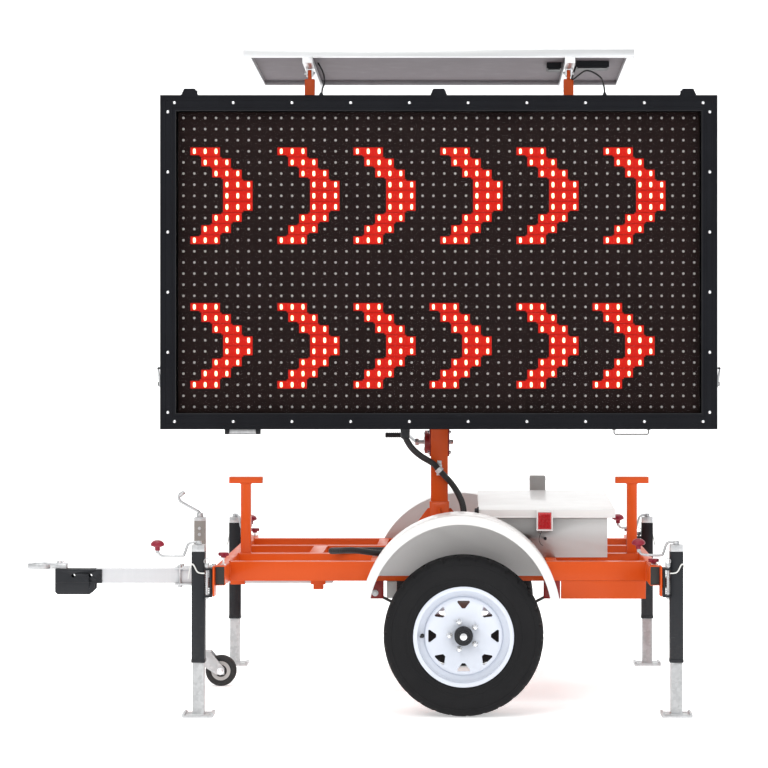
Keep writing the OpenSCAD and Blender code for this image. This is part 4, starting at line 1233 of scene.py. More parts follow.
@dataclass
class SignFace:
    """Dots of the display, with an arrow sign lit on them."""

    shop: Workshop
    columns: int = 48
    rows: int = 27
    pitch_x: float = 0.044
    pitch_z: float = 0.045
    dot_radius: float = 0.0052
    lit_half: tuple[float, float] = (0.0052, 0.0105)
    first_rows: tuple[int, int] = (3, 17)
    glyph_rows: tuple[int, int] = (9, 8)
    glyph_starts: tuple[tuple[int, ...], tuple[int, ...]] = ((1, 9, 16, 24, 31, 39), (1, 9, 16, 23, 31, 38))
    glyph_columns: int = 6

    def lit(self) -> set[tuple[int, int]]:
        """Columns and rows that are lit: two rows of chevrons, three dots wide, that point to the rear."""
        found: set[tuple[int, int]] = set()
        for first, tall, starts in zip(self.first_rows, self.glyph_rows, self.glyph_starts):
            for start in starts:
                for row in range(tall):
                    reach = min(row, tall - 1 - row)
                    for wide in range(3):
                        column = start + min(reach, self.glyph_columns - 3) + wide
                        found.add((column, first + row))
        return found

    def place(self, column: int, row: int) -> Vector:
        """Middle of a dot on the display's front."""
        low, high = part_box("led_panels")
        left = (low.x + high.x) / 2 - (self.columns - 1) * self.pitch_x / 2
        top = (
            self.shop.low("door_window").z + self.shop.high("door_window").z
        ) / 2 + (self.rows - 1) * self.pitch_z / 2
        return Vector((left + column * self.pitch_x, low.y, top - row * self.pitch_z))

    def build(self) -> None:
        """Makes the unlit dots, the lit dots, and glowing red plates round the lit dots that are painted light,
        standing for the light they spill on the display.
        """
        lit = self.lit()
        dots, on, painted_spill = Shape(), Shape(), Shape()
        for column in range(self.columns):
            for row in range(self.rows):
                seat = self.place(column, row)
                if (column, row) in lit:
                    self.lamp(on, seat)
                    self.glow(painted_spill, seat, column, row, lit)
                else:
                    self.dot(dots, seat)
        self.shop.make(dots, "dots_unlit", LENS_OFF, "head")
        self.shop.make(on, "dots_lit", LENS_ON, "head")
        # The plates round the lit dots glow with painted red light.
        self.shop.make(painted_spill, "dots_halo", PAINTED_LED_SPILL, "head")
        self.louvres()

    def dot(self, shape: Shape, seat: Vector) -> None:
        """Adds one unlit dot: a low dome on a thin collar."""
        r = self.dot_radius
        shape.turned([(r, -0.0002), (r, 0.0012), (r * 0.72, 0.003), (0, 0.004)], seat, -Y, 10)

    def lamp(self, shape: Shape, seat: Vector) -> None:
        """Adds one lit dot, which is taller than it is wide."""
        wide, tall = self.lit_half
        corners = []
        for k in range(16):
            a = 2 * math.pi * k / 16
            corners.append(
                (wide * math.cos(a), (tall - wide) * (1 if math.sin(a) > 0 else -1) + wide * math.sin(a))
            )
        shape.plate(corners, seat - Y * 0.0002 - Y * 0.004, X, Z, -0.0045, 0.0008)

    def glow(self, shape: Shape, seat: Vector, column: int, row: int, lit: set[tuple[int, int]]) -> None:
        """Adds a glowing patch of painted red light round a lit dot, standing for the light it throws on the
        display, joined to its lit neighbours.
        """
        reach = {1: self.pitch_x / 2, -1: self.pitch_x / 2}
        half = 0.0155
        left = reach[-1] if (column - 1, row) in lit else half
        right = reach[1] if (column + 1, row) in lit else half
        up = self.pitch_z / 2 if (column, row - 1) in lit else half
        down = self.pitch_z / 2 if (column, row + 1) in lit else half
        shape.plate([(-left, -down), (right, -down), (right, up), (-left, up)], seat - Y * 0.0006, X, Z, -0.0007)

    def louvres(self) -> None:
        """Makes the thin shade strips between the rows of dots."""
        low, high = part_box("led_panels")
        strips = Shape()
        for row in range(self.rows + 1):
            z = self.place(0, row).z + self.pitch_z / 2
            strips.block((low.x + 0.002, low.y - 0.0022, z - 0.0006), (high.x - 0.002, low.y + 0.0002, z + 0.0006))
        self.shop.make(strips, "display_shades", MASK, "head")


@dataclass
class DoorTrim:
    """Gasket, steps, screws, handles and catches of the sign's door and cabinet."""

    shop: Workshop
    screw: float = 0.0062
    inset: float = 0.031
    handle_x: tuple[float, float] = (-0.795, 0.780)

    def build(self) -> None:
        """Makes the steps of the border, the screws and the handles."""
        low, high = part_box("door_frame")
        front = -0.270
        left, right = low.x, high.x
        bottom, top = low.z, high.z - 0.026
        steps = Shape()
        for inset, proud in ((0.0045, 0.0012), (0.0175, 0.0018), (0.0455, 0.0022)):
            self.ring(steps, left, right, bottom, top, inset, 0.004, front, proud)
        self.shop.make(steps, "door_steps", CABINET, "door")
        seal = Shape()
        self.ring(seal, left + 0.058, right - 0.058, bottom + 0.058, top - 0.058, 0.0, 0.006, front + 0.002, 0.0016)
        self.shop.make(seal, "window_seal", RUBBER, "door")
        self.screws(left, right, bottom, top, front)
        self.handles(front)
        self.catches()

    def ring(
        self, shape: Shape, left: float, right: float, bottom: float, top: float, inset: float, width: float,
        front: float, proud: float
    ) -> None:
        """Adds a thin raised frame round the door's border.

        Args:
            shape: The shape to add to.
            left: The door's left edge.
            right: The door's right edge.
            bottom: The door's lower edge.
            top: The door's upper edge.
            inset: Distance from the edge to the frame.
            width: Width of the frame.
            front: y of the door's face.
            proud: Height of the frame above the face.
        """
        a, b, c, d = left + inset, right - inset, bottom + inset, top - inset
        for p, q in (
            ((a, c), (b, c + width)), ((a, d - width), (b, d)),
            ((a, c + width), (a + width, d - width)), ((b - width, c + width), (b, d - width)),
        ):
            shape.block((p[0], front - proud, p[1]), (q[0], front + 0.0004, q[1]), 0.0005)

    def screws(self, left: float, right: float, bottom: float, top: float, front: float) -> None:
        """Makes the bright screws round the border.

        Args:
            left: The door's left edge.
            right: The door's right edge.
            bottom: The door's lower edge.
            top: The door's upper edge.
            front: y of the door's face.
        """
        heads = Shape()
        places: list[tuple[float, float]] = []
        for k in range(10):
            x = left + 0.058 + (right - left - 0.116) * k / 9
            places += [(x, bottom + self.inset), (x, top - self.inset)]
        for k in range(6):
            z = bottom + 0.068 + (top - bottom - 0.136) * k / 5
            places += [(left + self.inset, z), (right - self.inset, z)]
        for x, z in places:
            heads.turned(
                [
                    (self.screw, -0.0002), (self.screw, 0.001), (self.screw * 0.7, 0.0028), (0.0016, 0.0034),
                    (0.0012, 0.0024), (0, 0.0024)
                ],
                (x, front, z), -Y, 14
            )
        self.shop.make(heads, "border_screws", BRIGHT, "door")

    def handles(self, front: float) -> None:
        """Makes the plate handle and the wire handle under the cabinet.

        Args:
            front: y of the door's face.
        """
        low = self.shop.low("sign_cabinet")
        left, right = (self.shop.mast_x + x for x in self.handle_x)
        plate = Shape().block(
            (left - 0.055, front + 0.045, low.z - 0.020), (left + 0.055, front + 0.050, low.z + 0.0005), 0.0012
        )
        plate.block(
            (left - 0.055, front + 0.045, low.z - 0.020), (left + 0.055, front + 0.068, low.z - 0.016), 0.0012
        )
        self.shop.make(plate, "hand_plate", ZINC, "head")
        ends = Shape()
        for s in (-1, 1):
            ends.block(
                (left + s * 0.063 - 0.009, front + 0.040, low.z - 0.021),
                (left + s * 0.063 + 0.009, front + 0.072, low.z + 0.0005), 0.002
            )
        self.shop.make(ends, "hand_plate_ends", BLACK, "head")
        path = [(-0.070, 0.0), (-0.070, -0.016), (-0.066, -0.021), (0.066, -0.021), (0.070, -0.016), (0.070, 0.0)]
        wire = [Vector((right + a, front + 0.055, low.z + b)) for a, b in path]
        shape = Shape().swept(wire, 0.0026, 10)
        for s in (-1, 1):
            shape.turned([(0.007, -0.003), (0.007, 0.0005)], (right + s * 0.070, front + 0.055, low.z), Z, 16)
        self.shop.make(shape, "wire_handle", DARK_STEEL, "head")

    def catches(self) -> None:
        """Makes the hook plates on the door that the side latches hold."""
        low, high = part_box("door_frame")
        z = self.shop.low("latch_right").z + 0.012
        plates = Shape()
        for x, s in ((low.x, -1), (high.x, 1)):
            a, b = sorted((x - s * 0.0002, x + s * 0.0045))
            plates.block((a, low.y + 0.006, z - 0.02), (b, low.y + 0.022, z + 0.03), 0.001)
        self.shop.make(plates, "latch_keepers", ZINC, "door")
        for node, s in (("latch_left", -1), ("latch_right", 1)):
            lo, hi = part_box(node)
            tip = Vector((lo.x if s < 0 else hi.x, (lo.y + hi.y) / 2, hi.z))
            grip = Shape().rod(
                tip + Vector((-s * 0.006, -0.016, -0.002)), tip + Vector((-s * 0.006, 0.016, -0.002)), 0.0045, 14
            )
            self.shop.make(grip, f"{node}_grip", BLACK, node)


# ---------------------------------------------------------------- solar panel


@dataclass
class SolarTrim:
    """Back sheet, junction boxes and leads under the solar panel."""

    shop: Workshop
    slope: float = -2.7
    hinge_y: float = -0.100
    hinge_z: float = 2.534
    under: float = 0.041
    depth: tuple[float, float] = (-0.172, 0.636)
    length: float = 1.58

    def on_panel(self, x: float, y: float, z: float) -> Vector:
        """A point measured from the mast and the hinge line on the flat panel."""
        turned = Matrix.Rotation(math.radians(self.slope), 3, "X") @ Vector((0, y, z))
        return Vector((self.shop.mast_x + x, self.hinge_y + turned.y, self.hinge_z + turned.z))

    def slab(self, shape: Shape, low: Point, high: Point) -> None:
        """Adds a block that lies along the panel's slope.

        Args:
            shape: The shape to add to.
            low: Lowest corner on the flat panel.
            high: Highest corner on the flat panel.
        """
        corners = [
            self.on_panel(x, y, z) for z in (low[2], high[2]) for x,
            y in ((low[0], low[1]), (high[0], low[1]), (high[0], high[1]), (low[0], high[1]))
        ]
        verts = [shape.mesh.verts.new(c) for c in corners]
        for face in ((0, 3, 2, 1), (4, 5, 6, 7), (0, 1, 5, 4), (1, 2, 6, 5), (2, 3, 7, 6), (3, 0, 4, 7)):
            shape.mesh.faces.new([verts[k] for k in face])

    def build(self) -> None:
        """Makes the back sheet, the boxes and the leads."""
        half = self.length / 2
        sheet = Shape()
        self.slab(
            sheet, (-half + 0.004, self.depth[0] + 0.004, self.under + 0.0190),
            (half - 0.004, self.depth[1] - 0.004, self.under + 0.0208)
        )
        self.shop.make(sheet, "panel_back_sheet", BACKSHEET, "solar")
        boxes = Shape()
        for x0, x1, y in ((0.565, 0.700, 0.06), (0.445, 0.505, 0.10)):
            self.slab(boxes, (x0, y, self.under - 0.006), (x1, y + 0.085, self.under + 0.0192))
            self.slab(
                boxes, (x0 + 0.006, y + 0.006, self.under - 0.010), (x1 - 0.006, y + 0.079, self.under - 0.0058)
            )
        self.shop.make(boxes, "junction_boxes", BLACK, "solar")
        self.leads()

    def leads(self) -> None:
        """Makes the two leads that loop from the panel into the sign's top."""
        top = self.shop.high("sign_cabinet").z - 0.0203
        routes = {
            "lead_right": (
                [self.on_panel(0.565, 0.10, self.under + 0.004)],
                [(0.545, -0.125, -0.028), (0.60, -0.15, 0.005), (0.655, -0.155, -0.02), (0.672, -0.16, -0.06)],
                (0.675, -0.160)
            ),
            "lead_left": (
                [self.on_panel(-0.498, 0.02, self.under + 0.004)],
                [(-0.475, -0.125, 0.0), (-0.468, -0.14, -0.04), (-0.475, -0.16, -0.07)], (-0.480, -0.165)
            ),
        }
        for name, (start, bends, entry) in routes.items():
            middle = [Vector((self.shop.mast_x + x, y, self.hinge_z + z)) for x, y, z in bends]
            end = Vector((self.shop.mast_x + entry[0], entry[1], top - 0.004))
            path = smooth_path([*start, *middle, end], 8)
            lead = self.shop.make(Shape().swept(path, 0.0035, 10), name, HOSE, None)
            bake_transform(lead)
            gland = Shape().turned(
                [(0.010, -0.0005), (0.010, 0.007), (0.007, 0.016), (0.0037, 0.020)], (end.x, end.y, top), Z, 14
            )
            self.shop.make(gland, f"{name}_gland", BLACK, "head")


# ---------------------------------------------------------------- wheels


@dataclass
class Wheels:
    """Treaded tyres, wheel nuts, hub caps and valves."""

    shop: Workshop
    sides: int = 240
    slot_every: int = 8
    slot_depth: float = 0.0055
    groove_depth: float = 0.0065
    nut_pcd: float = 0.110
    disc_out: float = 0.022
    wall: tuple[tuple[float, float], ...] = (
        (0.1810, 0.0774), (0.1927, 0.0774), (0.1965, 0.0828), (0.2000, 0.0856), (0.2040, 0.0856),
        (0.2070, 0.0846), (0.2180, 0.0872), (0.2195, 0.0886), (0.2225, 0.0889), (0.2240, 0.0880),
        (0.2400, 0.0914), (0.2520, 0.0923), (0.2640, 0.0921), (0.2740, 0.0896), (0.2755, 0.0908),
        (0.2790, 0.0903), (0.2800, 0.0886), (0.2890, 0.0858),
    )
    shoulder: tuple[tuple[float, float], ...] = ((0.2950, 0.0815), (0.3005, 0.0745), (0.3035, 0.0660))
    ribs: tuple[tuple[float, float], ...] = ((0.0640, 0.0390), (0.0330, 0.0150), (0.0090, -0.0090))

    def section(self) -> list[tuple[float, float, bool]]:
        """Half of the tyre's section from the bead to the middle of the tread.

        Returns:
            Radius, distance from the middle plane, and whether slots cut that point.
        """
        points = [(r, w, False) for r, w in self.wall] + [(r, w, True) for r, w in self.shoulder]
        crown = 0.3075
        for outer, inner in self.ribs:
            for w in (outer, inner):
                if w < 0:
                    continue
                points.append((crown - 0.0035 * (w / 0.066) ** 2, w, True))
            if inner > 0:
                floor = crown - self.groove_depth - 0.003 * (inner / 0.066) ** 2
                points += [(floor, inner - 0.0012, False), (floor, inner - 0.0048, False)]
        return points

    def tyre(self, side: Side) -> None:
        """Makes one treaded tyre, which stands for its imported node.

        Args:
            side: The side of the trailer.
        """
        half = self.section()
        section = half + [(r, -w, cut) for r, w, cut in reversed(half)]
        centre = self.shop.middle(f"tyre_{side.name.lower()}")
        shape = Shape()
        rings = []
        for k in range(self.sides):
            ring = []
            for r, w, cut in section:
                phase = k + (2 if abs(w) > 0.05 else 5 if w > 0.012 else 0)
                depth = self.slot_depth if cut and phase % self.slot_every == 0 else 0.0
                a = 2 * math.pi * k / self.sides
                ring.append(
                    shape.mesh.verts.new(centre + Vector(((r - depth) * math.cos(a), w, (r - depth) * math.sin(a))))
                )
            rings.append(ring)
        rings.append(rings[0])
        shape.skin(rings, len(section), caps=False)
        name = side.name.lower()
        made = self.shop.make(shape, f"treaded_tyre_{name}", TYRE, f"wheel_{name}", math.radians(28))
        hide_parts(f"tyre_{name}")

    def fittings(self, side: Side) -> None:
        """Makes the nuts, the cap and the valve of one wheel.

        Args:
            side: The side of the trailer.
        """
        name, out = side.name.lower(), Y * side.value
        centre = self.shop.middle(f"tyre_{name}")
        nuts = Shape()
        for k in range(5):
            a = math.radians(180 + 72 * k)
            seat = centre + Vector(
                (math.cos(a), 0, -side.value * math.sin(a))
            ) * self.nut_pcd / 2 + out * (self.disc_out + 0.0062)
            nuts.turned([(0.0128, 0), (0.0128, 0.0015), (0.0112, 0.0035)], seat, out, 24)
            nuts.turned([(0.0110, 0.003), (0.0110, 0.0150), (0.0092, 0.0172), (0.0072, 0.0172)], seat, out, 6)
            nuts.turned([(0.0070, 0.016), (0.0070, 0.0345), (0.0058, 0.0362), (0, 0.0362)], seat, out, 16)
        self.shop.make(nuts, f"wheel_nuts_{name}", BRIGHT, f"wheel_{name}")
        cap = Shape().turned(
            [(0.0352, 0.030), (0.0352, 0.0660), (0.0335, 0.0690), (0.0225, 0.0690), (0.0215, 0.0683)], centre,
            out, 48
        )
        self.shop.make(cap, f"hub_ring_{name}", BLACK, f"wheel_{name}")
        dome = Shape().turned(
            [(0.0207, 0.0675), (0.0207, 0.0715), (0.0195, 0.0735), (0.0150, 0.0757), (0.0080, 0.0770), (0, 0.0774)],
            centre, out, 40
        )
        self.shop.make(dome, f"hub_cap_{name}", BRIGHT, f"wheel_{name}")
        seat = centre - X * 0.157 + out * 0.034
        valve = Shape().turned(
            [
                (0.0080, 0), (0.0080, 0.003), (0.0050, 0.006), (0.0044, 0.024), (0.0050, 0.026), (0.0050, 0.036),
                (0.0036, 0.038), (0, 0.038)
            ],
            seat, out - X * 0.15, 16
        )
        self.shop.make(valve, f"valve_{name}", RUBBER, f"wheel_{name}")

    def build(self) -> None:
        """Makes both wheels."""
        for side in Side:
            self.tyre(side)
            self.fittings(side)


# ---------------------------------------------------------------- corner jacks


@dataclass
class CornerJacks:
    """Cranks, knobs, heads, lock pins and hooks of the four corner jacks."""

    shop: Workshop
    crank: tuple[tuple[float, float], ...] = (
        (0.0, 0.664), (0.028, 0.664), (0.042, 0.654), (0.054, 0.622), (0.066, 0.612),
        (0.135, 0.612), (0.152, 0.620), (0.158, 0.636),
    )
    turns: dict[tuple[End, Side], float] = field(
        default_factory=lambda: {
            (End.FRONT, Side.NEAR): 180.0,
            (End.FRONT, Side.FAR): -59.0,
            (End.REAR, Side.NEAR): 152.0,
            (End.REAR, Side.FAR): 212.0,
        }
    )
    knob: tuple[tuple[float, float], ...] = (
        (0.0095, 0.0), (0.0100, 0.010), (0.0125, 0.0135), (0.0215, 0.0165), (0.0260, 0.0195), (0.0265, 0.0225),
        (0.0255, 0.0265), (0.0220, 0.0325), (0.0150, 0.0375), (0.0070, 0.0398), (0, 0.0403),
    )

    def build(self) -> None:
        """Makes the small parts of every corner."""
        for end in End:
            for side in Side:
                self.corner(end, side)

    def corner(self, end: End, side: Side) -> None:
        """Makes the small parts of one corner.

        Args:
            end: The end of the trailer.
            side: The side of the trailer.
        """
        name = f"{end.name}_{side.name}".lower()
        leg = self.shop.middle(f"jack_leg_{name}")
        axis = Vector((leg.x, leg.y, 0))
        self.handle(name, axis, math.radians(self.turns[end, side]))
        self.head(name, axis)
        self.lock(name, axis, end, side)
        self.foot(name, axis)

    def handle(self, name: str, axis: Vector, turn: float) -> None:
        """Makes the bent crank and its knob.

        Args:
            name: The corner's name.
            axis: The jack's axis, at the ground.
            turn: Direction of the crank, in radians.
        """
        way = Vector((math.cos(turn), math.sin(turn), 0))
        path = [axis + way * r + Z * z for r, z in self.crank]
        shape = Shape().swept(smooth_path(path, 5), 0.0050, 14)
        shape.turned([(0.0080, 0.634), (0.0080, 0.668), (0.0072, 0.670), (0, 0.670)], axis, Z, 20)
        shape.turned([(0.0125, 0.6565), (0.0125, 0.6685), (0.0110, 0.6700)], axis, Z, 6)
        tip = axis + way * self.crank[-1][0]
        shape.turned([(0.0062, 0.622), (0.0062, 0.636)], tip, Z, 16)
        rod = self.shop.make(shape, f"crank_rod_{name}", ZINC, f"jack_crank_{name}", math.radians(50))
        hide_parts(f"jack_crank_{name}")
        knob = Shape().turned(self.knob, tip + Z * 0.633, Z, 40)
        self.shop.make(knob, f"crank_knob_{name}", CRIMSON, f"jack_crank_{name}", math.radians(60))

    def head(self, name: str, axis: Vector) -> None:
        """Makes the plated cap on the tube's top, with its screws, and the ring at its lower end.

        Args:
            name: The corner's name.
            axis: The jack's axis, at the ground.
        """
        body, h = f"jack_{name}", 0.0243
        cap = Shape()
        cap.square_ring(axis, (h, 0.0095), (0.6302, 0.6554), 0.0008)
        for s in (-1, 1):
            cap.turned(
                [(0.0042, 0), (0.0042, 0.002), (0.0030, 0.0032), (0, 0.0032)], axis + Vector((0, s * h, 0.643)),
                Y * s, 12
            )
        self.shop.make(cap, f"jack_head_{name}", ZINC, body)
        low = self.shop.low(f"jack_tube_{name}").z
        band = Shape()
        band.square_ring(axis, (0.0262, 0.0248), (low, low + 0.012), 0.0004)
        self.shop.make(band, f"jack_collar_{name}", BLACK, body)

    def lock(self, name: str, axis: Vector, end: End, side: Side) -> None:
        """Makes the pull pin beside the pivot and the wire hook over the tube.

        Args:
            name: The corner's name.
            axis: The jack's axis, at the ground.
            end: The end of the trailer.
            side: The side of the trailer.
        """
        body, inward, out = f"jack_{name}", -end.value, side.value
        pin_at = axis + Vector((inward * 0.0345, out * 0.0285, 0))
        pin = Shape().rod(pin_at + Z * 0.448, pin_at + Z * 0.578, 0.0052, 16)
        pin.turned([(0.0085, 0.572), (0.0098, 0.575), (0.0098, 0.583), (0.0080, 0.586), (0, 0.586)], pin_at, Z, 20)
        ring = [
            pin_at + Vector(
                (0.011 * math.cos(a), 0.0, 0.594 + 0.011 * math.sin(a))
            ) for a in (2 * math.pi * k / 16 for k in range(17))
        ]
        pin.swept(ring, 0.0016, 8)
        coil = [
            pin_at + Vector(
                (0.0072 * math.cos(0.9 * k), 0.0072 * math.sin(0.9 * k), 0.470 + 0.0011 * k)
            ) for k in range(72)
        ]
        pin.swept(coil, 0.0011, 6)
        self.shop.make(pin, f"pull_pin_{name}", ZINC, body, math.radians(50))
        guides = Shape()
        for z in (0.456, 0.560):
            guides.block(pin_at + Vector((-0.009, -0.0085, z)), pin_at + Vector((0.009, 0.0085, z + 0.008)), 0.001)
        self.shop.make(guides, f"pin_guides_{name}", BLACK, body)
        face = out * 0.0285
        hook = [
            (-0.037, 0.528), (-0.034, 0.545), (-0.028, 0.574), (-0.022, 0.583), (-0.015, 0.577), (-0.004, 0.556),
            (0.008, 0.549), (0.026, 0.548)
        ]
        path = [axis + Vector((inward * a, face, z)) for a, z in hook]
        self.shop.make(Shape().swept(smooth_path(path, 4), 0.0028, 10), f"wire_hook_{name}", WIRE, body)

    def foot(self, name: str, axis: Vector) -> None:
        """Makes the pressed ribs on the foot plate and the weld round the leg.

        Args:
            name: The corner's name.
            axis: The jack's axis, at the ground.
        """
        low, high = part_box(f"jack_leg_{name}")
        shape, top = Shape(), 0.0078
        half = 0.0219
        for x0, y0, x1, y1 in (
            (-half, -half, half, -half), (half, -half, half, half), (half, half, -half, half),
            (-half, half, -half, -half)
        ):
            path = [axis + Vector((x0 + (x1 - x0) * t / 10, y0 + (y1 - y0) * t / 10, top)) for t in range(11)]
            shape.swept(path, 0.0032, 8, lambda k: 1.0 + 0.12 * (k % 2))
        for s in (-1, 1):
            shape.rod(
                axis + Vector((low.x - axis.x + 0.014, s * 0.042, top)),
                axis + Vector((high.x - axis.x - 0.014, s * 0.042, top)), 0.0025, 10
            )
        self.shop.make(shape, f"foot_ribs_{name}", ZINC, f"jack_leg_{name}")


# ---------------------------------------------------------------- drawbar and jockey wheel


@dataclass
class Drawbar:
    """Jockey crank, caster hub, post cap and coupling bolts of the drawbar."""

    shop: Workshop
    crank: tuple[tuple[float, float], ...] = (
        (0.0, 0.716), (-0.003, 0.722), (-0.014, 0.730), (-0.074, 0.763),
        (-0.084, 0.772), (-0.088, 0.780), (-0.087, 0.790), (-0.080, 0.797),
    )

    def build(self) -> None:
        """Makes the small parts of the drawbar."""
        leg = self.shop.middle("jockey_leg")
        axis = Vector((leg.x, leg.y, 0))
        shape = Shape().swept(smooth_path([axis + X * x + Z * z for x, z in self.crank], 5), 0.0060, 14)
        shape.turned(
            [(0.0080, 0.684), (0.0080, 0.7025), (0.0138, 0.7030), (0.0138, 0.7180), (0.0120, 0.7200), (0, 0.7200)],
            axis, Z, 24
        )
        rod = self.shop.make(shape, "jockey_crank_rod", ZINC, "jockey_crank", math.radians(50))
        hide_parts("jockey_crank")
        grip = Shape().rod(axis + X * -0.086 + Z * 0.792, axis + X * -0.066 + Z * 0.808, 0.0090, 20)
        self.shop.make(grip, "jockey_grip", ZINC, "jockey_crank", math.radians(60))
        self.caster()
        self.bands(axis)
        self.coupling()

    def caster(self) -> None:
        """Makes the caster's tread, its hub and its axle nuts."""
        low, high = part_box("jockey_wheel")
        centre = (low + high) / 2
        half, r = (high.y - low.y) / 2, (high.z - low.z) / 2
        tread = [
            (0.0082, 0.0002), (0.0220, 0.0002), (0.0260, 0.0060), (0.0430, 0.0062), (0.0470, 0.0030),
            (0.0560, 0.0016), (0.0610, 0.0045), (r, 0.0100)
        ]
        tread += [(r, 0.0190), (r - 0.0022, 0.0200), (r - 0.0022, 0.0250), (r, 0.0260)]
        tread += [(a, 2 * half - b) for a, b in reversed(tread[:8])]
        wheel = Shape().turned(tread, (centre.x, low.y, centre.z), Y, 64)
        made = self.shop.make(wheel, "caster_tyre", RUBBER, "jockey_wheel", math.radians(40))
        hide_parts("jockey_wheel")
        hub = Shape()
        for s in (-1, 1):
            side = Vector((centre.x, centre.y + s * (half - 0.0062), centre.z))
            hub.turned([(0.0235, 0.0), (0.0235, 0.0016), (0.0400, 0.0014), (0.0400, 0.0002)], side, Y * s, 32)
        self.shop.make(hub, "caster_hub", GREY_BOX, "jockey_wheel")
        nuts = Shape()
        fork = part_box("jockey_fork")
        for y, s in ((fork[0].y + 0.006, -1), (fork[1].y - 0.006, 1)):
            nuts.bolt((centre.x, y, centre.z), Y * s, 0.024)
        self.shop.make(nuts, "caster_nuts", BRIGHT, "jockey_fork")

    def bands(self, axis: Vector) -> None:
        """Makes the cap and the two bolts of the jockey post.

        Args:
            axis: The post's axis, at the ground.
        """
        high = self.shop.high("jockey_tube").z
        shape = Shape()
        shape.square_ring(axis, (0.0232, 0.0152), (high - 0.014, high + 0.0005), 0.0008)
        for z in (high - 0.045, high - 0.070):
            shape.bolt(axis + Vector((0, -0.0225, z)), -Y, 0.011)
        self.shop.make(shape, "jockey_post_cap", ZINC, "chassis")

    def coupling(self) -> None:
        """Makes the fold line and the bolts of the coupling, and the bolts of the tow ring."""
        low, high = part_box("coupling")
        shape = Shape()
        for s, y in ((-1, low.y), (1, high.y)):
            shape.rod((low.x + 0.004, y, 0.440), (high.x - 0.034, y, 0.440), 0.0016, 8)
            for x in (high.x - 0.011, high.x - 0.024):
                shape.bolt((x, y, 0.462 if x > high.x - 0.02 else 0.442), Y * s, 0.013)
        self.shop.make(shape, "coupling_details", BLACK, "chassis")
        ring_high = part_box("tow_ring")[1]
        bolts = Shape()
        for x in (ring_high.x - 0.018, ring_high.x - 0.045 + 0.012):
            bolts.bolt((x, 0, ring_high.z), Z, 0.020)
        self.shop.make(bolts, "tow_ring_bolts", BRIGHT, "chassis")


# ---------------------------------------------------------------- chassis


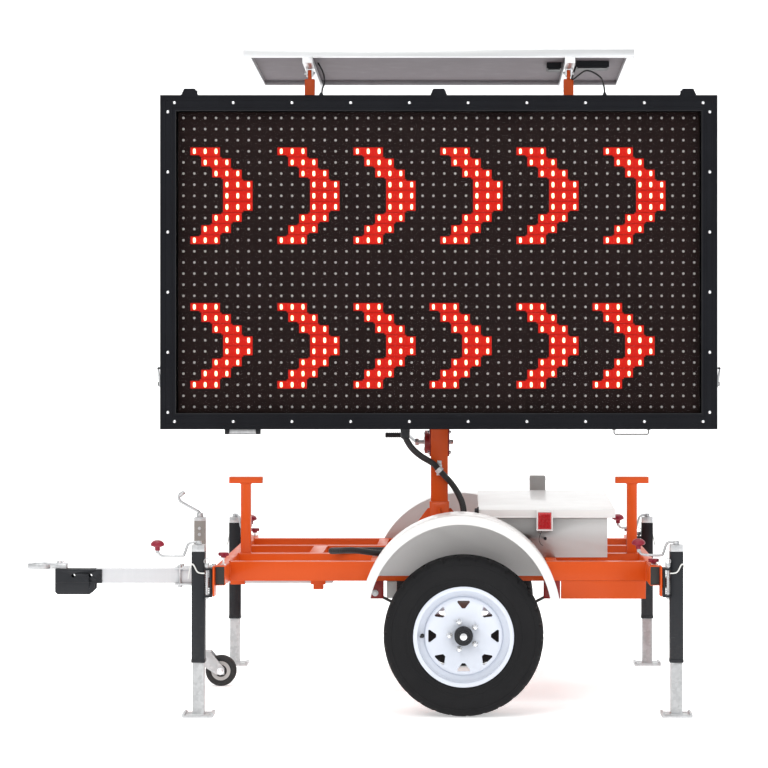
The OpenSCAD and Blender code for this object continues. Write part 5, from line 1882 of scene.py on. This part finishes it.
@dataclass
class Chassis:
    """Welds, tube ends, star knobs, spring nuts and fender edges."""

    shop: Workshop
    rest_x: float = 0.783
    rest_y: float = -0.195
    leaf_radius: float = 0.645
    leaf_stack: float = 0.024
    eye_reach: float = 0.345
    clamp_half: float = 0.046
    fender_place: tuple[float, float] = (-0.012, 0.389)
    roll_radius: float = 0.3505
    bolt_radius: float = 0.355
    bolt_angles: tuple[int, ...] = (38, 66, 114, 142)
    bead: float = 0.0032
    hanger_half: float = 0.024

    def weld(self, shape: Shape, start: Point, end: Point) -> None:
        """Adds a weld bead along a joint.

        Args:
            shape: The shape to add to.
            start: Start of the joint.
            end: End of the joint.
        """
        a, b = Vector(start), Vector(end)
        count = max(4, round((b - a).length / 0.004))
        path = [a.lerp(b, k / count) for k in range(count + 1)]
        shape.swept(path, self.bead, 7, lambda k: 1.0 + 0.16 * math.sin(2.4 * k))

    def build(self) -> None:
        """Makes the small parts of the chassis."""
        self.welds()
        self.tube_ends()
        self.star_knobs()
        self.running_gear()
        self.fender_edges()

    def welds(self) -> None:
        """Makes the weld beads of the frame and of the mast's gussets."""
        shape, mast = Shape(), self.shop.mast_x
        rail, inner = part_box("side_rails"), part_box("inner_beams")
        top, bottom = rail[1].z, inner[0].z
        for x in (inner[0].x, inner[1].x):
            for s in (-1, 1):
                for edge in (rail[1].y, rail[1].y - 0.05, inner[1].y, inner[1].y - 0.05):
                    self.weld(shape, (x, s * edge, bottom), (x, s * edge, top))
                self.weld(shape, (x, s * (rail[1].y - 0.05), top), (x, s * rail[1].y, top))
                self.weld(shape, (x, s * (inner[1].y - 0.05), top), (x, s * inner[1].y, top))
        plate, foot = 0.583, Vector((mast, 0, 0))
        for a in range(4):
            turn = Matrix.Rotation(math.radians(90 * a), 3, "Z")
            for s in (-0.004, 0.004):
                for start, end in (
                    ((0.042, s, plate), (0.158, s, plate)), ((0.0402, s, plate), (0.0402, s, 0.742))
                ):
                    self.weld(shape, foot + turn @ Vector(start), foot + turn @ Vector(end))
        for x in (-self.rest_x, self.rest_x):
            for sx, sy, ex, ey in ((-1, -1, 1, -1), (-1, 1, 1, 1), (-1, -1, -1, 1), (1, -1, 1, 1)):
                for z in (0.575, 0.859):
                    self.weld(
                        shape, (mast + x + 0.02 * sx, self.rest_y + 0.02 * sy, z),
                        (mast + x + 0.02 * ex, self.rest_y + 0.02 * ey, z)
                    )
        self.shop.make(shape, "frame_welds", ORANGE, "chassis", math.radians(70))

    def tube_ends(self) -> None:
        """Makes near-black sheets over the ends of the two end beams, painted shade that stands for the inside of
        the open tubes, and the edges of the sign rests.
        """
        low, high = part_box("end_beams")
        # Near-black sheets and rims over the tube ends: painted shade for the hollow inside.
        shaded_ends = Shape()
        for x in (low.x, high.x - 0.040):
            for y, s in ((low.y, -1), (high.y, 1)):
                a, b = sorted((y + s * 0.0006, y - s * 0.0004))
                shaded_ends.block((x + 0.004, a, low.z + 0.004), (x + 0.036, b, high.z - 0.004), 0.0002)
                rim_a, rim_b = sorted((y + s * 0.0016, y + s * 0.0002))
                for c, d in (
                    ((0.003, 0.003), (0.0055, 0.072)), ((0.0345, 0.003), (0.037, 0.072)),
                    ((0.0055, 0.003), (0.0345, 0.0055)), ((0.0055, 0.0695), (0.0345, 0.072))
                ):
                    shaded_ends.block((x + c[0], rim_a, low.z + c[1]), (x + d[0], rim_b, low.z + d[1]), 0.0003)
        self.shop.make(shaded_ends, "beam_inserts", PAINTED_TUBE_SHADE, "chassis")
        caps = Shape()
        for x in (-self.rest_x, self.rest_x):
            for s in (-1, 1):
                y = self.rest_y + s * 0.025
                a, b = sorted((y, y + s * 0.0012))
                caps.block(
                    (self.shop.mast_x + x - 0.0650, a, 0.8615), (self.shop.mast_x + x + 0.0650, b, 0.8825), 0.0005
                )
        self.shop.make(caps, "rest_edges", ORANGE, "chassis")

    def star_knobs(self) -> None:
        """Makes the red clamping knobs on the end beams."""
        low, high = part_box("end_beams")
        knobs, studs = Shape(), Shape()
        for x, y, stand in (
            (low.x + 0.028, -0.735, 0.034), (high.x - 0.020, -0.735, 0.010), (low.x + 0.028, 0.735, 0.020),
            (high.x - 0.020, 0.735, 0.020)
        ):
            seat = Vector((x, y, high.z))
            studs.turned([(0.0042, -0.0005), (0.0042, stand + 0.006)], seat, Z, 14)
            studs.turned([(0.0110, -0.0003), (0.0110, 0.0018)], seat, Z, 24)
            outline = []
            for k in range(60):
                a = 2 * math.pi * k / 60
                r = 0.0172 + 0.0032 * math.cos(6 * a)
                outline.append((r * math.cos(a), r * math.sin(a)))
            knobs.plate(outline, seat + Z * stand, X, Y, 0.0130, 0.0022)
            knobs.turned([(0.0100, -0.007), (0.0112, 0.0006)], seat + Z * stand, Z, 24)
        self.shop.make(knobs, "star_knobs", CRIMSON, "chassis", math.radians(55))
        self.shop.make(studs, "knob_studs", BRIGHT, "chassis")

    def running_gear(self) -> None:
        """Makes the nuts of the spring eyes and of the axle clamps, and the grey shackle blocks."""
        axle = self.shop.axle_x
        nuts, blocks = Shape(), Shape()
        eye = self.eye_height()
        for s in (-1, 1):
            for e in (-1, 1):
                for y, out in ((0.580 + self.hanger_half, 1), (0.580 - self.hanger_half, -1)):
                    nuts.bolt((axle + e * self.eye_reach, s * y, eye), Y * s * out, 0.020)
            for x in (-0.032, 0.032):
                for y in (0.553, 0.607):
                    nuts.bolt((axle + x, s * y, self.shop.low("axle").z - 0.008), -Z, 0.017)
                    nuts.bolt((axle + x, s * y, self.clamp_top()), Z, 0.017)
            blocks.block((axle - 0.300, s * 0.580 - 0.018, 0.432), (axle - 0.262, s * 0.580 + 0.018, 0.4985), 0.003)
        self.shop.make(nuts, "spring_nuts", ZINC, "chassis")
        self.shop.make(blocks, "bump_stops", GREY_BOX, "chassis")

    def eye_height(self) -> float:
        """Height of the spring eyes."""
        rise = self.leaf_radius - math.sqrt(self.leaf_radius**2 - self.eye_reach**2)
        return self.shop.high("axle").z + self.leaf_stack + rise - 0.004

    def clamp_top(self) -> float:
        """Height of the top of the axle's clamp plate."""
        rise = math.sqrt(self.leaf_radius**2 - self.clamp_half**2)
        return self.shop.high("axle").z + self.leaf_stack + self.leaf_radius - rise + 0.0081

    def fender_edges(self) -> None:
        """Makes the rolled outer edge and the bolts of both fenders."""
        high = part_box("fenders")[1]
        centre = Vector((self.shop.axle_x + self.fender_place[0], 0, self.fender_place[1]))
        rolls, bolts = Shape(), Shape()
        for s in (-1, 1):
            y = s * (high.y - 0.0028)
            reach = math.radians(11)
            path = []
            for k in range(61):
                a = reach + (math.pi - 2 * reach) * k / 60
                path.append(centre + Vector((self.roll_radius * math.cos(a), y, self.roll_radius * math.sin(a))))
            rolls.swept(path, 0.0026, 10)
            for a in map(math.radians, self.bolt_angles):
                seat = centre + Vector((self.bolt_radius * math.cos(a), s * 0.608, self.bolt_radius * math.sin(a)))
                bolts.bolt(seat, Y * s, 0.012)
        self.shop.make(rolls, "fender_rolled_edges", WHITE, "chassis", math.radians(70))
        self.shop.make(bolts, "fender_bolts", BRIGHT, "chassis")


# ---------------------------------------------------------------- mast and winch


@dataclass
class Mast:
    """Winch gear cover, handle, rope and pulley, plate bolts and turning lock."""

    shop: Workshop
    winch: tuple[float, float] = (0.078, 1.016)

    def build(self) -> None:
        """Makes the small parts of the mast."""
        mast = self.shop.mast_x
        y, z = self.winch
        arm = Shape()
        arm.turned([(0.0090, -0.100), (0.0090, 0.048)], (mast, y, z), X, 24)
        arm.turned([(0.0150, -0.102), (0.0160, -0.098), (0.0160, -0.088), (0.0140, -0.086)], (mast, y, z), X, 6)
        route = [
            (-0.094, 0.0, 0.0), (-0.104, 0.020, 0.004), (-0.128, 0.104, 0.020), (-0.138, 0.118, 0.024),
            (-0.160, 0.118, 0.024)
        ]
        path = smooth_path([Vector((mast + a, y + b, z + c)) for a, b, c in route], 6)
        arm.swept(path, 0.0068, 14)
        made = self.shop.make(arm, "winch_arm", ZINC, "winch_crank", math.radians(50))
        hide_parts("winch_crank")
        grip = Shape()
        profile = [(0.0080, -0.2300), (0.0105, -0.2285)]
        for k in range(9):
            x = -0.224 + 0.0085 * k
            profile += [(0.0110, x), (0.0110, x + 0.0050), (0.0100, x + 0.0058), (0.0100, x + 0.0077)]
        profile += [(0.0108, -0.1440), (0.0090, -0.1405)]
        grip.turned(profile, (mast, y + 0.118, z + 0.024), X, 24)
        self.shop.make(grip, "winch_grip", RUBBER, "winch_crank")
        self.cover(mast, y, z)
        self.rope(mast, y, z)
        self.plate_bolts(mast)

    def cover(self, mast: float, y: float, z: float) -> None:
        """Makes the plated gear cover and the bolts of the winch.

        Args:
            mast: x of the mast.
            y: y of the winch's shaft.
            z: z of the winch's shaft.
        """
        face = mast - 0.061
        ring = Shape().turned(
            [(0.0100, 0.0), (0.0100, 0.0022), (0.0440, 0.0022), (0.0465, 0.0008), (0.0465, -0.0002)],
            (face, y - 0.006, z), -X, 48
        )
        for k in range(5):
            a = 2 * math.pi * k / 5 + 0.4
            ring.bolt((face - 0.0020, y - 0.006 + 0.036 * math.cos(a), z + 0.036 * math.sin(a)), -X, 0.008)
        self.shop.make(ring, "winch_cover", ZINC, "mast")
        bolts = Shape()
        for s, x in ((1, mast + 0.041), (-1, mast - 0.041)):
            for dy, dz in ((-0.012, -0.040), (-0.012, 0.044)):
                bolts.bolt((x, dy, z + dz), X * s, 0.014)
        bolts.bolt((mast + 0.048, y, z), X, 0.019)
        self.shop.make(bolts, "winch_bolts", BRIGHT, "mast")

    def rope(self, mast: float, y: float, z: float) -> None:
        """Makes the rope that runs from the drum up to the pulley on the column's top.

        Args:
            mast: x of the mast.
            y: y of the winch's shaft.
            z: z of the winch's shaft.
        """
        top = self.shop.high("mast_column").z
        rope = Shape().swept(
            [
                Vector((mast + 0.006, y + 0.0245, z + 0.004)), Vector((mast + 0.004, y + 0.010, z + 0.30)),
                Vector((mast, 0.0545, top - 0.030))
            ],
            0.0027, 8
        )
        coil = [
            Vector(
                (mast - 0.024 + 0.00065 * k, y + 0.0262 * math.cos(0.7 * k), z + 0.0262 * math.sin(0.7 * k))
            ) for k in range(74)
        ]
        wound = Shape().swept(coil, 0.0026, 6)
        self.shop.make(rope, "lifting_rope", ROPE, "mast")
        self.shop.make(wound, "wound_rope", ROPE, "winch_drum")
        pulley = Shape().turned(
            [
                (0.0060, -0.009), (0.0240, -0.009), (0.0250, -0.006), (0.0190, -0.002), (0.0190, 0.002),
                (0.0250, 0.006), (0.0240, 0.009), (0.0060, 0.009)
            ],
            (mast, 0.0605, top - 0.030), X, 32
        )
        for s in (-1, 1):
            a, b = sorted((mast + s * 0.011, mast + s * 0.015))
            pulley.block((a, 0.0345, top - 0.062), (b, 0.078, top - 0.004), 0.001)
        pulley.bolt((mast + 0.015, 0.0605, top - 0.030), X, 0.016)
        self.shop.make(pulley, "rope_pulley", ZINC, "mast")

    def plate_bolts(self, mast: float) -> None:
        """Makes the bolts of the base plate, the grease nipple and the turning lock.

        Args:
            mast: x of the mast.
        """
        bolts = Shape()
        for sx in (-1, 1):
            for sy in (-1, 1):
                bolts.bolt((mast + sx * 0.135, sy * 0.178, 0.583), Z, 0.026, 0.006)
        self.shop.make(bolts, "plate_bolts", BRIGHT, "chassis")
        lock = Shape().turned(
            [(0.0105, -0.0005), (0.0105, 0.010), (0.0060, 0.011), (0.0060, 0.030)], (mast + 0.040, 0.012, 0.690),
            X, 20
        )
        lock.rod((mast + 0.068, -0.022, 0.690), (mast + 0.068, 0.046, 0.690), 0.0052, 14)
        nipple = [(0.0050, -0.0005), (0.0050, 0.004), (0.0032, 0.006), (0.0040, 0.009), (0.0022, 0.012), (0, 0.012)]
        lock.turned(nipple, (mast - 0.016, -0.040, 0.640), -Y, 12)
        self.shop.make(lock, "turning_lock", ZINC, "chassis")


# ---------------------------------------------------------------- battery box


@dataclass
class BatteryBox:
    """Gland, lock, seal tag, and battery fittings of the white box."""

    shop: Workshop

    def build(self) -> None:
        """Makes the small parts of the battery box."""
        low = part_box("battery_box")[0]
        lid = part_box("box_lid")
        front, axle = low.y, self.shop.axle_x
        lock = Shape().turned(
            [(0.0062, -0.0004), (0.0062, 0.003), (0.0048, 0.0045), (0, 0.0045)], (axle + 0.325, front, 0.650), -Y,
            24
        )
        self.shop.make(lock, "box_lock", BLACK, "chassis")
        gland = Shape().turned(
            [(0.0155, -0.0004), (0.0155, 0.005), (0.0110, 0.007), (0.0100, 0.016), (0, 0.016)],
            (lid[0].x, -0.40, 0.760), -X, 20
        )
        self.shop.make(gland, "lid_gland", BLACK, "box_lid")
        tag = [
            (0.316, -0.010, 0.690), (0.306, -0.016, 0.672), (0.300, -0.014, 0.648), (0.306, -0.008, 0.630),
            (0.316, -0.004, 0.622)
        ]
        path = smooth_path([Vector((axle + x, front + y, z)) for x, y, z in tag], 6)
        self.shop.make(Shape().swept(path, 0.0011, 8), "seal_wire", BLACK, "chassis")
        self.lens()
        self.lid_edge(lid)
        self.inside(axle)

    def lens(self) -> None:
        """Makes the ribbed red lens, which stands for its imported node."""
        low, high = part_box("lamp_lens")
        shape = Shape().block((low.x, low.y + 0.005, low.z), (high.x, high.y, high.z), 0.002)
        count = 8
        wide = (high.x - low.x - 0.006) / count
        for i in range(count):
            for k in range(round((high.z - low.z - 0.006) / wide)):
                a = Vector((low.x + 0.003 + wide * (i + 0.5), low.y + 0.0049, low.z + 0.003 + wide * (k + 0.5)))
                if a.z + wide / 2 > high.z - 0.003:
                    continue
                shape.turned([(wide * 0.68, 0), (0, 0.0042)], a, -Y, 4, 45)
        made = self.shop.make(shape, "ribbed_lens", RED_LENS, "box_lid", math.radians(20))
        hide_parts("lamp_lens")
        screws = Shape()
        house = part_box("lamp_housing")
        for x in (house[0].x + 0.0028, house[1].x - 0.0028):
            for z in (house[0].z + 0.0030, house[1].z - 0.0030):
                screws.turned([(0.0022, -0.0003), (0.0022, 0.0006), (0, 0.0012)], (x, house[0].y, z), -Y, 12)
        self.shop.make(screws, "lamp_screws", BRIGHT, "box_lid")

    def lid_edge(self, lid: tuple[Vector, Vector]) -> None:
        """Makes the hem and the vents of the lid.

        Args:
            lid: Lowest and highest corner of the lid.
        """
        low, high = lid
        hem = Shape()
        hem.block((low.x + 0.001, low.y - 0.0014, low.z), (high.x - 0.001, low.y + 0.0003, low.z + 0.006), 0.0006)
        self.shop.make(hem, "lid_hem", WHITE, "box_lid")
        vent = Shape()
        for k in range(5):
            vent.block(
                (high.x - 0.0002, -0.30 + 0.012 * k, low.z + 0.004),
                (high.x + 0.0012, -0.294 + 0.012 * k, low.z + 0.024), 0.0005
            )
        self.shop.make(vent, "lid_vents", WHITE, "box_lid")

    def inside(self, axle: float) -> None:
        """Makes the terminals and the straps of the batteries.

        Args:
            axle: x of the axle. Not used.
        """
        low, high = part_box("batteries")
        posts, tops = Shape(), Shape()
        for k in range(2):
            for s in (-1, 1):
                x = low.x + 0.085 + 0.180 * k
                for d in (-0.12, 0.12):
                    y = s * 0.170 + d
                    if abs(y) < 0.33:
                        posts.turned([(0.0090, -0.0004), (0.0080, 0.0085), (0, 0.0085)], (x, y, high.z), Z, 20)
                tops.block(
                    (x - 0.070, s * 0.170 - 0.140, high.z - 0.0003),
                    (x + 0.070, s * 0.170 + 0.140, high.z + 0.0022), 0.001
                )
        self.shop.make(posts, "battery_posts", BRIGHT, "chassis")
        self.shop.make(tops, "battery_tops", GREY_BOX, "chassis")
        modem_low, modem_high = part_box("modem_box")
        seam = Shape()
        z = modem_high.z - 0.018
        seam.block(
            (modem_low.x - 0.0012, modem_high.y - 0.049, z),
            (modem_high.x + 0.0012, modem_high.y + 0.0012, z + 0.003), 0.0008
        )
        self.shop.make(seam, "modem_details", GREY_BOX, "chassis")


# ---------------------------------------------------------------- the trailer


def main() -> None:
    """Builds the trailer's sub-assemblies in order and reports each piece."""
    logging.basicConfig(level=logging.INFO, format="%(name)s %(message)s")
    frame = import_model()
    studio = Studio()
    studio.camera()
    finishes = Finishes()
    shop = Workshop(frame, finishes)
    Hoses(shop).build()
    PackedFinishes(shop).dress()
    SignFace(shop).build()
    DoorTrim(shop).build()
    SolarTrim(shop).build()
    Wheels(shop).build()
    CornerJacks(shop).build()
    Drawbar(shop).build()
    Chassis(shop).build()
    Mast(shop).build()
    BatteryBox(shop).build()
    studio.lights()
    studio.floor(finishes)


if __name__ == "__main__":
    main()
